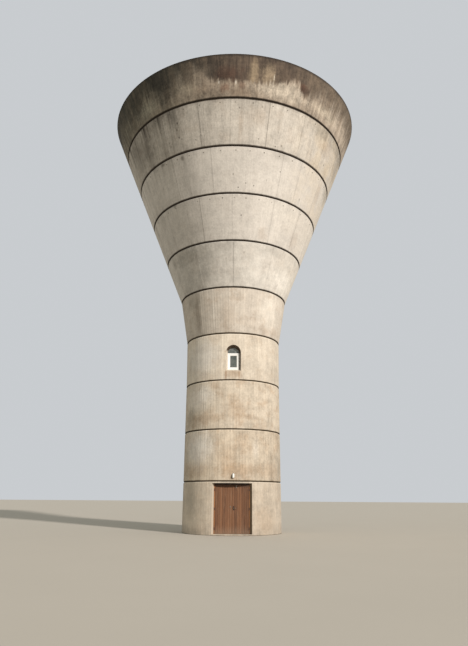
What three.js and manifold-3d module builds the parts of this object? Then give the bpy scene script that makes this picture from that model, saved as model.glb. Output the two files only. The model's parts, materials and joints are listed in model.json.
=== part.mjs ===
// A cast concrete water tower: a round shaft that flares into a conical tank, poured in ten
// lifts, with a double door at its foot and one arched window.
// Millimetres, +Z up. The origin is at ground level on the tower's axis, and the door faces -Y.
import * as THREE from 'three';
import { mergeVertices } from 'three/addons/utils/BufferGeometryUtils.js';
import { ConvexGeometry } from 'three/addons/geometries/ConvexGeometry.js';
import Module from 'manifold-3d';

const wasm = await Module();
wasm.setup();

// Driving dimensions of the shell.
const SIDES = 72; // facets round the tower
const SHAFT_R = 2130; // outer radius of the shaft, 14 ft across
const LIFT = 2070; // one lift of shuttering, measured up the wall's face
const FLARE_START = 30; // how far the fourth lift leans out
const FLARE_REACH = 335; // how far the fifth lift leans out
const CONE_SLOPE = 0.397; // outward run for each unit of rise in the tank wall
const PARAPET_LIFT = 1840; // the last lift, measured up its face
const SHAFT_WALL = 381; // 15 in: the door frame stands flush with its inner face
const TANK_FOOT_WALL = 254; // 10 in at the cone's foot, where the water presses most
const TANK_HEAD_WALL = 165; // what the cone's wall tapers to by the roof
const PARAPET_WALL = 152; // 6 in
const TANK_SEAT = 100; // ledge inside the wall that carries the tank's floor
const ROOF_SEAT = 75; // ledge that carries the roof
const FLARE_LIFT = 5; // the lift that spreads from the shaft to the cone
const ROOF_LIFT = 9; // the last lift of the cone, with the roof at its head
const PARAPET = 10;
const WINDOW_LIFT = 4;
const JOINT_DROP = 70; // height of the chamfer at the head of a lift
const JOINT_DEPTH = 45; // how far that chamfer runs in under the next lift
const FIT = 0.3; // gap between pieces that meet on curved or cut faces
const CUT_OUT = 120; // how far a cutter runs past the wall's outer face
const CUT_IN = 400; // how far it runs past the inner face
const PAST = 1; // how far a cutter runs past a flat face
const FAR = 9000; // beyond the tower on plan
const HIGH = 21000; // above the rim
const ROUND_SIDES = 16; // facets round a pin or a spindle

// Slabs and the roof hatch.
const GROUND_SLAB = 50;
const TANK_SLAB = 250;
const ROOF_SLAB = 150;
const ROOF_FALL = 100;
const HATCH = { y: 3400, clear: 700, wall: 100, rise: 220, cover: 1000, thick: 45, lip: 60, ease: 20 };

// The doorway: a splayed reveal with a timber frame and two leaves.
const DOOR_HEAD = 1980;
const FRAME_FACE = -1850; // plane of the frame's and the leaves' outer faces
const FRAME_HALF = 738;
const FRAME_DEPTH = 95;
const FRAME_POST = 50;
const STOP = 15; // how far the stop reaches past the post
const SPLAY = 0.62; // widening of the reveal for each unit of depth
const LINTEL_HALF = 900;
const LEAF_THICK = 44;
const LEAF_GAP = 6; // clearance round the leaves and between them
const HANG_GAP = 5; // clearance beside the hinges
const HINGE = { radius: 7, height: 100, flap: 44, thick: 3, inset: 2.5, levels: [250, 990, 1725] };
const LOCK = { x: 66, z: 1020, width: 56, height: 170, thick: 4, knob: 13, reach: 58, lever: 115, grip: 9 };

// The window: an arched opening with a splayed reveal, a casement and a half-round light.
const WINDOW = { x: 20, sill: 6665, spring: 7400, half: 254, face: -1980, splay: 0.5 };
const CASEMENT = { frame: 55, sash: 58, depth: 70, sashFace: 8, sashBack: 60, paneFace: 34, glass: 6 };
const ARCH_STEPS = 24;

// The lamp over the door.
const LAMP = { x: 50, z: 2262, width: 100, height: 200, base: 28, cover: 62, rim: 5, bed: 10 };

// Finishes.
const CONCRETE = { color: 0xc6baa2, roughness: 0.9, metalness: 0 };
const DAMP_CONCRETE = { color: 0x8f8574, roughness: 0.95, metalness: 0 };
const TIMBER = { color: 0x7d5a3e, roughness: 0.8, metalness: 0 };
const GALVANISED = { color: 0x8d8f8e, roughness: 0.5, metalness: 0.7 };
const DARK_IRON = { color: 0x3a3632, roughness: 0.6, metalness: 0.6 };
const WHITE_PLASTIC = { color: 0xf4f3ee, roughness: 0.35, metalness: 0 };
const GLASS = { color: 0x5d625e, roughness: 0.1, metalness: 0 };
const OPAL = { color: 0xf3f1ec, roughness: 0.3, metalness: 0 };

const tower = new THREE.Group();

// Levels and outer radii of the joints, from the ground to the rim.
function jointLevels() {
  const levels = [{ z: 0, r: SHAFT_R }];
  const climb = (slant, reach) => {
    const last = levels[levels.length - 1];
    levels.push({ z: last.z + Math.sqrt(slant * slant - reach * reach), r: last.r + reach });
  };
  const coneReach = (slant) => (slant * CONE_SLOPE) / Math.hypot(1, CONE_SLOPE);
  for (const reach of [0, 0, 0, FLARE_START, FLARE_REACH]) climb(LIFT, reach);
  for (let lift = FLARE_LIFT; lift < ROOF_LIFT; lift += 1) climb(LIFT, coneReach(LIFT));
  climb(PARAPET_LIFT, coneReach(PARAPET_LIFT));
  return levels.map(({ z, r }) => ({ z: Math.round(z), r: Math.round(r) }));
}

const levels = jointLevels();
const tankFoot = levels[FLARE_LIFT];
const roofSeat = levels[ROOF_LIFT];
const tankFloorTop = tankFoot.z + TANK_SLAB;
const roofEaves = roofSeat.z + ROOF_SLAB;
const roofRadius = roofSeat.r - PARAPET_WALL - FIT;

// Helpers: geometry to solid, solid to geometry, and a finished mesh.
function solid(geometry) {
  const plain = geometry.index ? geometry.toNonIndexed() : geometry.clone();
  plain.deleteAttribute('normal');
  plain.deleteAttribute('uv');
  const merged = mergeVertices(plain, 1e-3);
  const corners = Array.from(merged.index.array);
  const live = [];
  for (let i = 0; i < corners.length; i += 3) {
    const [a, b, c] = corners.slice(i, i + 3);
    if (a !== b && b !== c && c !== a) live.push(a, b, c);
  }
  const vertProperties = new Float32Array(merged.attributes.position.array);
  const build = (order) => new wasm.Manifold(new wasm.Mesh({
    numProp: 3,
    vertProperties,
    triVerts: new Uint32Array(order),
  }));
  const made = build(live);
  return made.volume() > 0 ? made : build(live.reverse());
}

function geometryOf(manifold) {
  const mesh = manifold.getMesh();
  const geometry = new THREE.BufferGeometry();
  geometry.setAttribute('position', new THREE.BufferAttribute(new Float32Array(mesh.vertProperties), 3));
  geometry.setIndex(new THREE.BufferAttribute(new Uint32Array(mesh.triVerts), 1));
  geometry.computeVertexNormals();
  return geometry;
}

function add(name, manifold, finish) {
  const mesh = new THREE.Mesh(geometryOf(manifold), new THREE.MeshStandardMaterial(finish));
  mesh.name = name;
  tower.add(mesh);
}

// A box between two corners.
function block([x0, y0, z0], [x1, y1, z1]) {
  const box = new THREE.BoxGeometry(x1 - x0, y1 - y0, z1 - z0);
  return solid(box.translate((x0 + x1) / 2, (y0 + y1) / 2, (z0 + z1) / 2));
}

// A profile of [radius, level] points turned round the tower's axis.
function turned(points, sides = SIDES) {
  const profile = points.map(([r, z]) => new THREE.Vector2(r, z));
  return solid(new THREE.LatheGeometry(profile, sides).rotateX(Math.PI / 2));
}

// An outline in X and Z pushed along Y, from front to back.
function pushed(shape, front, back) {
  const options = { depth: back - front, bevelEnabled: false, curveSegments: ARCH_STEPS };
  return solid(new THREE.ExtrudeGeometry(shape, options).rotateX(Math.PI / 2).translate(0, back, 0));
}

// An outline in plan, raised from one level to another.
function raised(points, low, high) {
  const shape = new THREE.Shape(points.map(([x, y]) => new THREE.Vector2(x, y)));
  const options = { depth: high - low, bevelEnabled: false };
  return solid(new THREE.ExtrudeGeometry(shape, options).translate(0, 0, low));
}

// The tower is cast in a front and a back half, split on the plane through its axis.
const frontHalf = block([-FAR, -FAR, -FAR], [FAR, 0, HIGH]);
const backHalf = block([-FAR, 0, -FAR], [FAR, FAR, HIGH]);

// Thickness of the cone's wall at a joint, counted from 0 at the ground.
function tankWall(joint) {
  const climbed = (joint - FLARE_LIFT) / (ROOF_LIFT - FLARE_LIFT);
  return TANK_FOOT_WALL + (TANK_HEAD_WALL - TANK_FOOT_WALL) * climbed;
}

// Inner radii at the foot and head of a lift, counted from 1 at the ground.
function innerRadii(lift) {
  const foot = levels[lift - 1].r;
  const head = levels[lift].r;
  if (lift < FLARE_LIFT) return [foot - SHAFT_WALL, head - SHAFT_WALL];
  if (lift === FLARE_LIFT) return [foot - SHAFT_WALL, head - TANK_FOOT_WALL - TANK_SEAT];
  if (lift === ROOF_LIFT) return [foot - tankWall(lift - 1), head - PARAPET_WALL - ROOF_SEAT];
  if (lift === PARAPET) return [foot - PARAPET_WALL, head - PARAPET_WALL];
  return [foot - tankWall(lift - 1), head - tankWall(lift)];
}

// One lift as a full ring. Its head is chamfered in under the next lift, which makes the joint.
function liftRing(lift) {
  const foot = levels[lift - 1];
  const head = levels[lift];
  const lean = (head.r - foot.r) / (head.z - foot.z);
  const [innerFoot, innerHead] = innerRadii(lift);
  const outer = [
    [foot.r, foot.z],
    [head.r - JOINT_DROP * lean, head.z - JOINT_DROP],
    [head.r - JOINT_DEPTH, head.z],
  ];
  const rim = [[foot.r, foot.z], [head.r, head.z]];
  const face = lift === PARAPET ? rim : outer;
  return turned([...face, [innerHead, head.z], [innerFoot, foot.z], [foot.r, foot.z]]);
}

function liftName(lift) {
  return `lift_${String(lift).padStart(2, '0')}`;
}

// Plain lifts, each in a front and a back half.
function plainLifts() {
  for (let lift = 2; lift <= ROOF_LIFT; lift += 1) {
    const ring = liftRing(lift);
    const front = ring.intersect(frontHalf);
    const pierced = lift === WINDOW_LIFT ? front.subtract(windowCut()) : front;
    add(`${liftName(lift)}_front`, pierced, CONCRETE);
    add(`${liftName(lift)}_back`, ring.intersect(backHalf), CONCRETE);
  }
  const parapet = liftRing(PARAPET);
  add('parapet_front', parapet.intersect(frontHalf), DAMP_CONCRETE);
  add('parapet_back', parapet.intersect(backHalf), DAMP_CONCRETE);
}

// The doorway in plan, drawn in by a margin where a piece has to fit into it.
function doorwayPlan(margin) {
  const half = FRAME_HALF + FIT - margin;
  const outside = -SHAFT_R - CUT_OUT;
  const wide = half + (FRAME_FACE - outside) * SPLAY;
  const inside = -SHAFT_R + SHAFT_WALL + CUT_IN;
  return [[-half, inside], [-half, FRAME_FACE], [-wide, outside],
    [wide, outside], [half, FRAME_FACE], [half, inside]];
}

// The ground lift: walls beside the doorway, a lintel over it and the back half.
function groundLift() {
  const ring = liftRing(1);
  const front = ring.intersect(frontHalf);
  const lintelBand = block([-LINTEL_HALF, -FAR, DOOR_HEAD], [LINTEL_HALF, 0, levels[1].z + PAST]);
  const doorway = raised(doorwayPlan(0), -PAST, DOOR_HEAD + PAST);
  const sides = front.subtract(lintelBand).subtract(doorway);
  const leftHalf = block([-FAR, -FAR, -FAR], [0, 0, HIGH]);
  add('lift_01_front_left', sides.intersect(leftHalf), CONCRETE);
  add('lift_01_front_right', sides.subtract(leftHalf), CONCRETE);
  add('lift_01_lintel', front.intersect(lintelBand), CONCRETE);
  add('lift_01_back', ring.intersect(backHalf), CONCRETE);
  const sill = raised(doorwayPlan(FIT), 0, GROUND_SLAB).intersect(front);
  add('door_sill', sill, CONCRETE);
}

// Slabs: the shaft's floor, the tank's floor on its ledge and the roof on its ledge.
function slabs() {
  const floorR = SHAFT_R - SHAFT_WALL - FIT;
  add('ground_floor', turned([[0, 0], [floorR, 0], [floorR, GROUND_SLAB], [0, GROUND_SLAB]]), CONCRETE);
  const tankR = tankFoot.r - TANK_FOOT_WALL - FIT;
  const tankDisc = [[0, tankFoot.z], [tankR, tankFoot.z], [tankR, tankFloorTop], [0, tankFloorTop]];
  add('tank_floor', turned(tankDisc), CONCRETE);
  const half = HATCH.clear / 2;
  const well = block([-half, HATCH.y - half, roofSeat.z - PAST], [half, HATCH.y + half, HIGH]);
  add('roof_slab', roofDisc(0).subtract(well), DAMP_CONCRETE);
}

// The roof as a disc that falls from its centre, with its top raised by a margin.
function roofDisc(margin) {
  const eaves = roofEaves + margin;
  return turned([[0, roofSeat.z], [roofRadius, roofSeat.z], [roofRadius, eaves], [0, eaves + ROOF_FALL]]);
}

// The roof hatch: a kerb that stands on the sloping roof, and a cover with turned-down edges.
function roofHatch() {
  const half = HATCH.clear / 2;
  const outer = half + HATCH.wall;
  const top = roofEaves + ROOF_FALL + HATCH.rise;
  const kerb = block([-outer, HATCH.y - outer, roofEaves], [outer, HATCH.y + outer, top])
    .subtract(block([-half, HATCH.y - half, roofSeat.z], [half, HATCH.y + half, top + PAST]))
    .subtract(roofDisc(FIT));
  add('roof_hatch_kerb', kerb, CONCRETE);
  const cover = HATCH.cover / 2;
  const inside = outer + HATCH.ease;
  const low = top - HATCH.lip;
  const lid = block([-cover, HATCH.y - cover, low], [cover, HATCH.y + cover, top + HATCH.thick])
    .subtract(block([-inside, HATCH.y - inside, low - PAST], [inside, HATCH.y + inside, top]));
  add('roof_hatch_cover', lid, GALVANISED);
}

// The timber door frame: posts and head in one, with a stop behind the leaves.
function doorFrame() {
  const back = FRAME_FACE + FRAME_DEPTH;
  const stopFace = FRAME_FACE + LEAF_THICK + LEAF_GAP;
  const surround = (member, front) => {
    const top = DOOR_HEAD - FIT;
    const inner = FRAME_HALF - member;
    return block([-FRAME_HALF, front, GROUND_SLAB], [FRAME_HALF, back, top])
      .subtract(block([-inner, front - PAST, GROUND_SLAB - PAST], [inner, back + PAST, top - member]));
  };
  const posts = surround(FRAME_POST, FRAME_FACE);
  add('door_frame', posts.add(surround(FRAME_POST + STOP, stopFace)), TIMBER);
}

// Edges of a leaf, from the meeting edge to the hinge edge, and its height.
const LEAF = {
  meet: LEAF_GAP / 2,
  hang: FRAME_HALF - FRAME_POST - HANG_GAP,
  low: GROUND_SLAB + LEAF_GAP,
  high: DOOR_HEAD - FIT - FRAME_POST - LEAF_GAP,
};

function doorLeaf(side, sign) {
  const xs = [sign * LEAF.meet, sign * LEAF.hang].sort((a, b) => a - b);
  const leaf = block([xs[0], FRAME_FACE, LEAF.low], [xs[1], FRAME_FACE + LEAF_THICK, LEAF.high]);
  add(`door_leaf_${side}`, leaf, TIMBER);
}

// A face hinge: a knuckle on the pin line, with its flap screwed to the leaf.
function hinges(side, sign) {
  const pinX = LEAF.hang + HINGE.inset;
  const pinY = FRAME_FACE - FIT - HINGE.radius;
  HINGE.levels.forEach((level, index) => {
    const knuckle = new THREE.CylinderGeometry(HINGE.radius, HINGE.radius, HINGE.height, ROUND_SIDES)
      .rotateX(Math.PI / 2);
    const xs = [sign * (pinX - HINGE.flap), sign * pinX].sort((a, b) => a - b);
    const flapFace = FRAME_FACE - FIT;
    const low = level - HINGE.height / 2;
    const flap = block([xs[0], flapFace - HINGE.thick, low], [xs[1], flapFace, low + HINGE.height]);
    const barrel = solid(knuckle.translate(sign * pinX, pinY, level));
    add(`door_hinge_${side}_${index + 1}`, barrel.add(flap), DARK_IRON);
  });
}

// The lock plate on the right leaf, with its spindle and lever.
function doorLock() {
  const face = FRAME_FACE - FIT;
  const plate = block([LOCK.x - LOCK.width / 2, face - LOCK.thick, LOCK.z - LOCK.height / 2],
    [LOCK.x + LOCK.width / 2, face, LOCK.z + LOCK.height / 2]);
  const spindle = new THREE.CylinderGeometry(LOCK.knob, LOCK.knob, LOCK.reach, ROUND_SIDES)
    .translate(LOCK.x, face - LOCK.reach / 2, LOCK.z);
  const lever = block([LOCK.x - LOCK.grip, face - LOCK.reach, LOCK.z - LOCK.grip],
    [LOCK.x + LOCK.lever, face - LOCK.reach + 2 * LOCK.grip, LOCK.z + LOCK.grip]);
  add('door_lock', plate.add(solid(spindle)).add(lever), GALVANISED);
}

// The window opening's outline, widened by a margin all round.
function windowShape(margin) {
  const half = WINDOW.half + margin;
  const shape = new THREE.Shape();
  shape.moveTo(WINDOW.x - half, WINDOW.sill - margin);
  shape.lineTo(WINDOW.x + half, WINDOW.sill - margin);
  shape.lineTo(WINDOW.x + half, WINDOW.spring);
  shape.absarc(WINDOW.x, WINDOW.spring, half, 0, Math.PI, false);
  shape.closePath();
  return shape;
}

// The hole through the wall: straight inside, and splayed from the casement to the outer face.
function windowCut() {
  const outside = -SHAFT_R - CUT_OUT;
  const ring = (margin, y) => windowShape(margin).getPoints(ARCH_STEPS)
    .map((point) => new THREE.Vector3(point.x, y, point.y));
  const spread = (WINDOW.face - outside) * WINDOW.splay;
  const splay = solid(new ConvexGeometry([...ring(0, WINDOW.face), ...ring(spread, outside)]));
  return splay.add(pushed(windowShape(0), WINDOW.face - PAST, -SHAFT_R + SHAFT_WALL + CUT_IN));
}

// The casement fills the square part of the opening, and one pane of glass the arch.
function casementWindow() {
  const half = WINDOW.half - FIT;
  const low = WINDOW.sill + FIT;
  const high = WINDOW.spring;
  const back = WINDOW.face + CASEMENT.depth;
  const ringBlock = (edge, width, front, rear) => {
    const inset = (by) => ({ x: half - by, low: low + by, high: high - by });
    const [out, inn] = [inset(edge), inset(edge + width)];
    return block([WINDOW.x - out.x, front, out.low], [WINDOW.x + out.x, rear, out.high])
      .subtract(block([WINDOW.x - inn.x, front - PAST, inn.low], [WINDOW.x + inn.x, rear + PAST, inn.high]));
  };
  add('window_frame', ringBlock(0, CASEMENT.frame, WINDOW.face, back), WHITE_PLASTIC);
  const sashEdge = CASEMENT.frame + FIT;
  const sashFace = WINDOW.face + CASEMENT.sashFace;
  const sashBack = WINDOW.face + CASEMENT.sashBack;
  add('window_sash', ringBlock(sashEdge, CASEMENT.sash, sashFace, sashBack), WHITE_PLASTIC);
  const pane = sashEdge + CASEMENT.sash + FIT;
  const middle = WINDOW.face + CASEMENT.paneFace;
  const glass = block([WINDOW.x - half + pane, middle, low + pane],
    [WINDOW.x + half - pane, middle + CASEMENT.glass, high - pane]);
  add('window_pane', glass, GLASS);
  const archPane = new THREE.Shape();
  archPane.absarc(WINDOW.x, WINDOW.spring + FIT, half - FIT, 0, Math.PI, false);
  add('arch_light', pushed(archPane, middle, middle + CASEMENT.glass), GLASS);
}

// The lamp over the door: a stadium base plate against the wall and an oval opal cover.
function doorLamp() {
  const wall = -Math.sqrt(SHAFT_R ** 2 - (LAMP.x + LAMP.width / 2) ** 2);
  const face = -SHAFT_R - LAMP.base;
  const end = LAMP.width / 2;
  const rise = LAMP.height / 2 - end;
  const shape = new THREE.Shape();
  shape.absarc(LAMP.x, LAMP.z + rise, end, 0, Math.PI, false);
  shape.absarc(LAMP.x, LAMP.z - rise, end, Math.PI, 2 * Math.PI, false);
  const shaft = turned([[0, 0], [SHAFT_R + FIT, 0], [SHAFT_R + FIT, 2 * LIFT], [0, 2 * LIFT]]);
  const back = wall + LAMP.bed;
  add('lamp_base', pushed(shape, face, back).subtract(shaft), DARK_IRON);
  const egg = new THREE.SphereGeometry(1, 2 * ROUND_SIDES, ROUND_SIDES);
  egg.scale(end - LAMP.rim, LAMP.cover, LAMP.height / 2 - LAMP.rim)
    .translate(LAMP.x, face - FIT, LAMP.z);
  const outward = block([-FAR, -FAR, 0], [FAR, face - FIT, 2 * LIFT]);
  add('lamp_cover', solid(egg).intersect(outward), OPAL);
}

groundLift();
plainLifts();
slabs();
roofHatch();
doorFrame();
for (const [side, sign] of [['left', -1], ['right', 1]]) {
  doorLeaf(side, sign);
  hinges(side, sign);
}
doorLock();
casementWindow();
doorLamp();

export default tower;
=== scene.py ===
# %% [markdown]
# # A cast concrete water tower
# The real tower is a round shaft that flares into a conical tank. It was poured in ten lifts, each
# shuttered on the one below, and every lift ends in a small chamfer, so a dark joint runs round it.
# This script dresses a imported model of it: the frame gives every piece its place, and the cells below
# give the pieces their fine shape and their finish. All lengths are metres, +Z is up, and the door
# faces -Y.

# %% Load the fixed frame
import json
import math
import random

import bmesh
import bpy
from mathutils import Matrix, Vector


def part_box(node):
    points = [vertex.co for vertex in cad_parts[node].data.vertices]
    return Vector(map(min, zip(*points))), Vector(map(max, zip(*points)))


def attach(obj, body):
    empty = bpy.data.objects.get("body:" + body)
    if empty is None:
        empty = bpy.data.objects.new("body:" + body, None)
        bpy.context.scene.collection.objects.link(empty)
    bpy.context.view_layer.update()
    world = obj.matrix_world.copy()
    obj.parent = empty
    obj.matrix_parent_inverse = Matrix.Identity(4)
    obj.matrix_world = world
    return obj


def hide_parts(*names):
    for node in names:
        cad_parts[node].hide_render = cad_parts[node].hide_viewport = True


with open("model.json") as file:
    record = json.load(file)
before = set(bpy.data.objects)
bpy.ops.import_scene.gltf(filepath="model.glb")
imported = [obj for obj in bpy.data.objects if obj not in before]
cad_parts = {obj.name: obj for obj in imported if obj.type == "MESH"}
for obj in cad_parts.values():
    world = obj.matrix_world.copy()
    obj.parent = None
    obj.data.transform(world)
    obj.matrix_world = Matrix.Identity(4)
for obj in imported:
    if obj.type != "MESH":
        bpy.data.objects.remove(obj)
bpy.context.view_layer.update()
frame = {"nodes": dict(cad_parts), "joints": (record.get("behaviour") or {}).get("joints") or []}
scene = bpy.context.scene

# %% [markdown]
# ## Small helpers
# A node tree is easier to read when each node is one line with its settings and links together. One
# function adds a node of any kind. Its kind is Blender's name without the family, with the mode after
# it, so that "Math ADD" is a ShaderNodeMath that adds. Values fill its live inputs in order, as place,
# scale, detail and roughness do for a noise, or a dict names them. A value that is a node is linked
# from its first live output, a pair names the output, a longer row sends a value through a smooth step
# from a start to an end, and anything else is typed in. Colours are written as sRGB hex, which is what
# the eye compares, and turned to the linear values that the renderer needs.

# %% Nodes and colours
FAMILIES = ("ShaderNode", "GeometryNode", "FunctionNode", "Node")
MODES = ("operation", "interpolation_type", "data_type", "mode", "rotation_type", "noise_dimensions")


def linear(colour):
    """A hex colour such as 'c8bda8' as linear red, green, blue and alpha."""
    parts = [int(colour[i:i + 2], 16) / 255 for i in (0, 2, 4)]
    return tuple(c / 12.92 if c <= 0.04045 else ((c + 0.055) / 1.055) ** 2.4 for c in parts) + (1.0,)


def live(sockets, key):
    """The socket at an index, or the first live one of a name."""
    if isinstance(key, int):
        return sockets[key]
    return next(s for s in sockets if s.name == key and s.enabled)


def source(tree, value):
    """The socket that a node, a pair or a value with a range stands for, or else the plain value."""
    if isinstance(value, tuple) and isinstance(value[0], (bpy.types.Node, tuple)):
        if len(value) == 2:
            return live(value[0].outputs, value[1])
        value = add(tree, "MapRange SMOOTHSTEP", *value)
    if isinstance(value, bpy.types.Node):
        return next(s for s in value.outputs if s.enabled)
    return value


def fill(tree, node, settings):
    """Gives a node its settings: each is a property, or an input by name or index."""
    for key, value in settings.items():
        value = source(tree, value)
        if isinstance(value, bpy.types.NodeSocket):
            tree.links.new(value, live(node.inputs, key))
        elif isinstance(key, int) or any(s.name == key for s in node.inputs):
            live(node.inputs, key).default_value = value
        else:
            setattr(node, key, value)
    return node


def add(tree, kind, *values, **settings):
    """Adds one node of a kind and mode, sets its properties, and fills its inputs."""
    kind, *mode = kind.split()
    family = next(f for f in FAMILIES if hasattr(bpy.types, f + kind))
    node = tree.nodes.new(family + kind)
    if mode:
        setattr(node, next(m for m in MODES if hasattr(node, m)), mode[0])
    fill(tree, node, settings)
    if values and isinstance(values[0], dict):
        return fill(tree, node, values[0])
    inputs = [i for i, socket in enumerate(node.inputs) if socket.enabled]
    return fill(tree, node, dict(zip(inputs, values)))


def new_tree(name, kind, given, made):
    """A node group with named inputs and outputs by kind of socket, and its input node."""
    tree = bpy.data.node_groups.new(name, kind)
    for way, sockets in (("INPUT", given), ("OUTPUT", made)):
        for socket, labels in sockets.items():
            for label in labels.split(", "):
                tree.interface.new_socket(label, in_out=way, socket_type=f"NodeSocket{socket}")
    return tree, add(tree, "GroupInput")


def new_material(name):
    made = bpy.data.materials.new(name)
    made.use_nodes = True
    return made, made.node_tree


def finish(made, colour, rough, bump=None, **more):
    """Joins a colour, a roughness and a bump of strength, depth and height to a material's surface."""
    tree = made.node_tree
    if bump:
        more["Normal"] = add(tree, "Bump", dict(zip(("Strength", "Distance", "Height"), bump)))
    fill(tree, tree.nodes["Principled BSDF"], {"Base Color": colour, "Roughness": rough, **more})
    return made


def where(tree, held, *masks):
    """Where some masks hold together: their product."""
    for mask in masks:
        held = add(tree, "Math MULTIPLY", held, mask)
    return held


def layered(tree, colour, *layers):
    """Lays colours over one another. A layer is a mask, how strong it is, and the colour it brings."""
    for mask, strength, over in layers:
        if strength != 1:
            mask = add(tree, "Math MULTIPLY", mask, strength)
        colour = add(tree, "Mix RGBA", mask, colour, linear(over))
    return colour


# %% [markdown]
# ## Camera
# The camera stood about 25 m from the tower's axis, with its lens 1.4 m above the tower's foot, and
# was tipped up. The angles below come from fitting a pinhole camera to the curves of the joints. The
# sensor's 36 mm is the long side of the picture, which is 468 by 646.

# %% Camera
LENS, SENSOR = 30.78, 36.0  # mm
EYE = Vector((0.0, -25.435, 1.438))
PITCH, YAW, ROLL = (math.radians(a) for a in (18.552, 0.077, 0.390))
SHIFT_Y = -0.0172  # of the long side

ahead = Vector((math.sin(YAW) * math.cos(PITCH), math.cos(YAW) * math.cos(PITCH), math.sin(PITCH)))
level = Vector((math.cos(YAW), -math.sin(YAW), 0.0))
upright = level.cross(ahead)
side = level * math.cos(ROLL) + upright * math.sin(ROLL)
top = upright * math.cos(ROLL) - level * math.sin(ROLL)
lens = bpy.data.cameras.new("camera")
lens.lens, lens.sensor_width, lens.shift_y = LENS, SENSOR, SHIFT_Y
camera = bpy.data.objects.new("camera", lens)
camera.matrix_world = Matrix.Translation(EYE) @ Matrix((side, top, -ahead)).transposed().to_4x4()
scene.collection.objects.link(camera)
scene.camera = camera
print("camera", [round(v, 3) for v in EYE], "looks up", round(math.degrees(PITCH), 1), "degrees")

# %% [markdown]
# ## Floor and light
# A plain pale floor, a soft grey sky and one broad lamp. The lamp stands where the light came from: to
# the right of the door and fairly low, which leaves the left flank in shade and lays the curved
# shadow of the lintel on the door. What the camera sees behind the tower is paler and cooler than
# the sky that lights it: a backdrop changes how warm the eye takes the concrete to be, and a Light
# Path node keeps it from changing the light itself.

# %% Floor and light
FLOOR_HALF = 200.0
SUN_AZIMUTH, SUN_HEIGHT = math.radians(40), math.radians(25)
SUN_STRENGTH, SUN_SPREAD, SKY_STRENGTH = 3.4, math.radians(4), 0.72

floor_mesh = bpy.data.meshes.new("studio_floor")
corners = [(x * FLOOR_HALF, y * FLOOR_HALF, 0) for x, y in ((-1, -1), (1, -1), (1, 1), (-1, 1))]
floor_mesh.from_pydata(corners, [], [(0, 1, 2, 3)])
floor = bpy.data.objects.new("studio_floor", floor_mesh)
scene.collection.objects.link(floor)

floor_paint, paint = new_material("studio_floor_paint_rolled")
cloud = add(paint, "TexNoise", (add(paint, "TexCoord"), "Object"), 0.4, 3.0)
finish(floor_paint, add(paint, "Mix RGBA", cloud, linear("bdb6aa"), linear("c1baae")), 0.9)
floor_mesh.materials.append(floor_paint)

sun_light = bpy.data.lights.new("key_light", "SUN")
sun_light.energy, sun_light.angle, sun_light.color = SUN_STRENGTH, SUN_SPREAD, linear("fff8f3")[:3]
sun = bpy.data.objects.new("key_light", sun_light)
from_sun = Vector((math.sin(SUN_AZIMUTH) * math.cos(SUN_HEIGHT),
                   -math.cos(SUN_AZIMUTH) * math.cos(SUN_HEIGHT), math.sin(SUN_HEIGHT)))
sun.rotation_mode = "QUATERNION"
sun.rotation_quaternion = from_sun.to_track_quat("Z", "Y")
scene.collection.objects.link(sun)

scene.world = bpy.data.worlds.new("pale_sky")
scene.world.use_nodes = True
sky = scene.world.node_tree
seen = (add(sky, "LightPath"), "Is Camera Ray")
sky_tone = add(sky, "Mix RGBA", seen, linear("d0d2cd"), linear("e8ecf0"))
fill(sky, sky.nodes["Background"], {"Color": sky_tone, "Strength": SKY_STRENGTH})
scene.view_settings.view_transform = "Standard"
print("light from", round(math.degrees(SUN_AZIMUTH)), "degrees right,",
      round(math.degrees(SUN_HEIGHT)), "up")

# %% [markdown]
# ## The section of each lift
# The wall's shape isn't typed in again. Each back half of a lift in the frame is a plain turned ring,
# so its corner points, read as radius and level, are the section: the foot, the head, the chamfer
# that makes the joint, and the inner face.

# %% Read the sections from the frame
PARAPET = 10
SHAFT_LIFTS = 5  # lifts shuttered with narrow boards; the cone above used wide panels
LIFTS = range(1, PARAPET + 1)


def cad_names(lift):
    """The nodes of the frame that one lift of the wall stands for."""
    if lift == 1:
        return ["lift_01_front_left", "lift_01_front_right", "lift_01_lintel", "lift_01_back"]
    stem = "parapet" if lift == PARAPET else f"lift_{lift:02d}"
    return [f"{stem}_front", f"{stem}_back"]


def section_of(node):
    """Level to (inner radius, outer radius) for a turned ring, from the ground up."""
    rings = {}
    for vertex in frame["nodes"][node].data.vertices:
        rings.setdefault(round(vertex.co.z, 3), []).append(math.hypot(vertex.co.x, vertex.co.y))
    return {z: (min(rings[z]), max(rings[z])) for z in sorted(rings)}


sections = {lift: section_of(cad_names(lift)[-1]) for lift in LIFTS}
joint_z = [0.0] + [max(sections[lift]) for lift in LIFTS]
joint_r = [sections[lift][joint_z[lift - 1]][1] for lift in LIFTS]
joint_r.append(sections[PARAPET][joint_z[PARAPET]][1])
for lift in LIFTS:
    print("lift", lift, {z: (round(a, 3), round(b, 3)) for z, (a, b) in sections[lift].items()})

# %% [markdown]
# ## Turning a section into a ring
# A lift is a section turned round the tower's axis, which is a rule, so a Geometry Nodes tree makes
# it. The holder's mesh is only the section's corner points: radius in X, level in Z, and in Y how much
# of the shutter boards' relief the point takes, or -1 on the inner face. The tree lays a grid, three
# columns for each board, looks up the corner point for every row and bends the grid round the axis.
# Boards differ in thickness by about a millimetre, and a thin fin of grout stands between them, which
# is what gives board-marked concrete its fine vertical lines. A Screw modifier could turn the section
# too, but it couldn't give each board its own depth.

# %% Geometry Nodes: a ring cast against boards
FIN_WIDTH = 0.006  # half the width of the fin between two boards
NUDGE = 1e-4  # added before rounding down, so that a whole number stays what it is
WELD = 1e-5  # points nearer than this are one


def geometry_tree(name, given):
    """A Geometry Nodes tree that takes and gives a geometry."""
    whole = {"Geometry": "Geometry"}
    return new_tree(name, "GeometryNodeTree", {**whole, **given}, whole)


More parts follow.
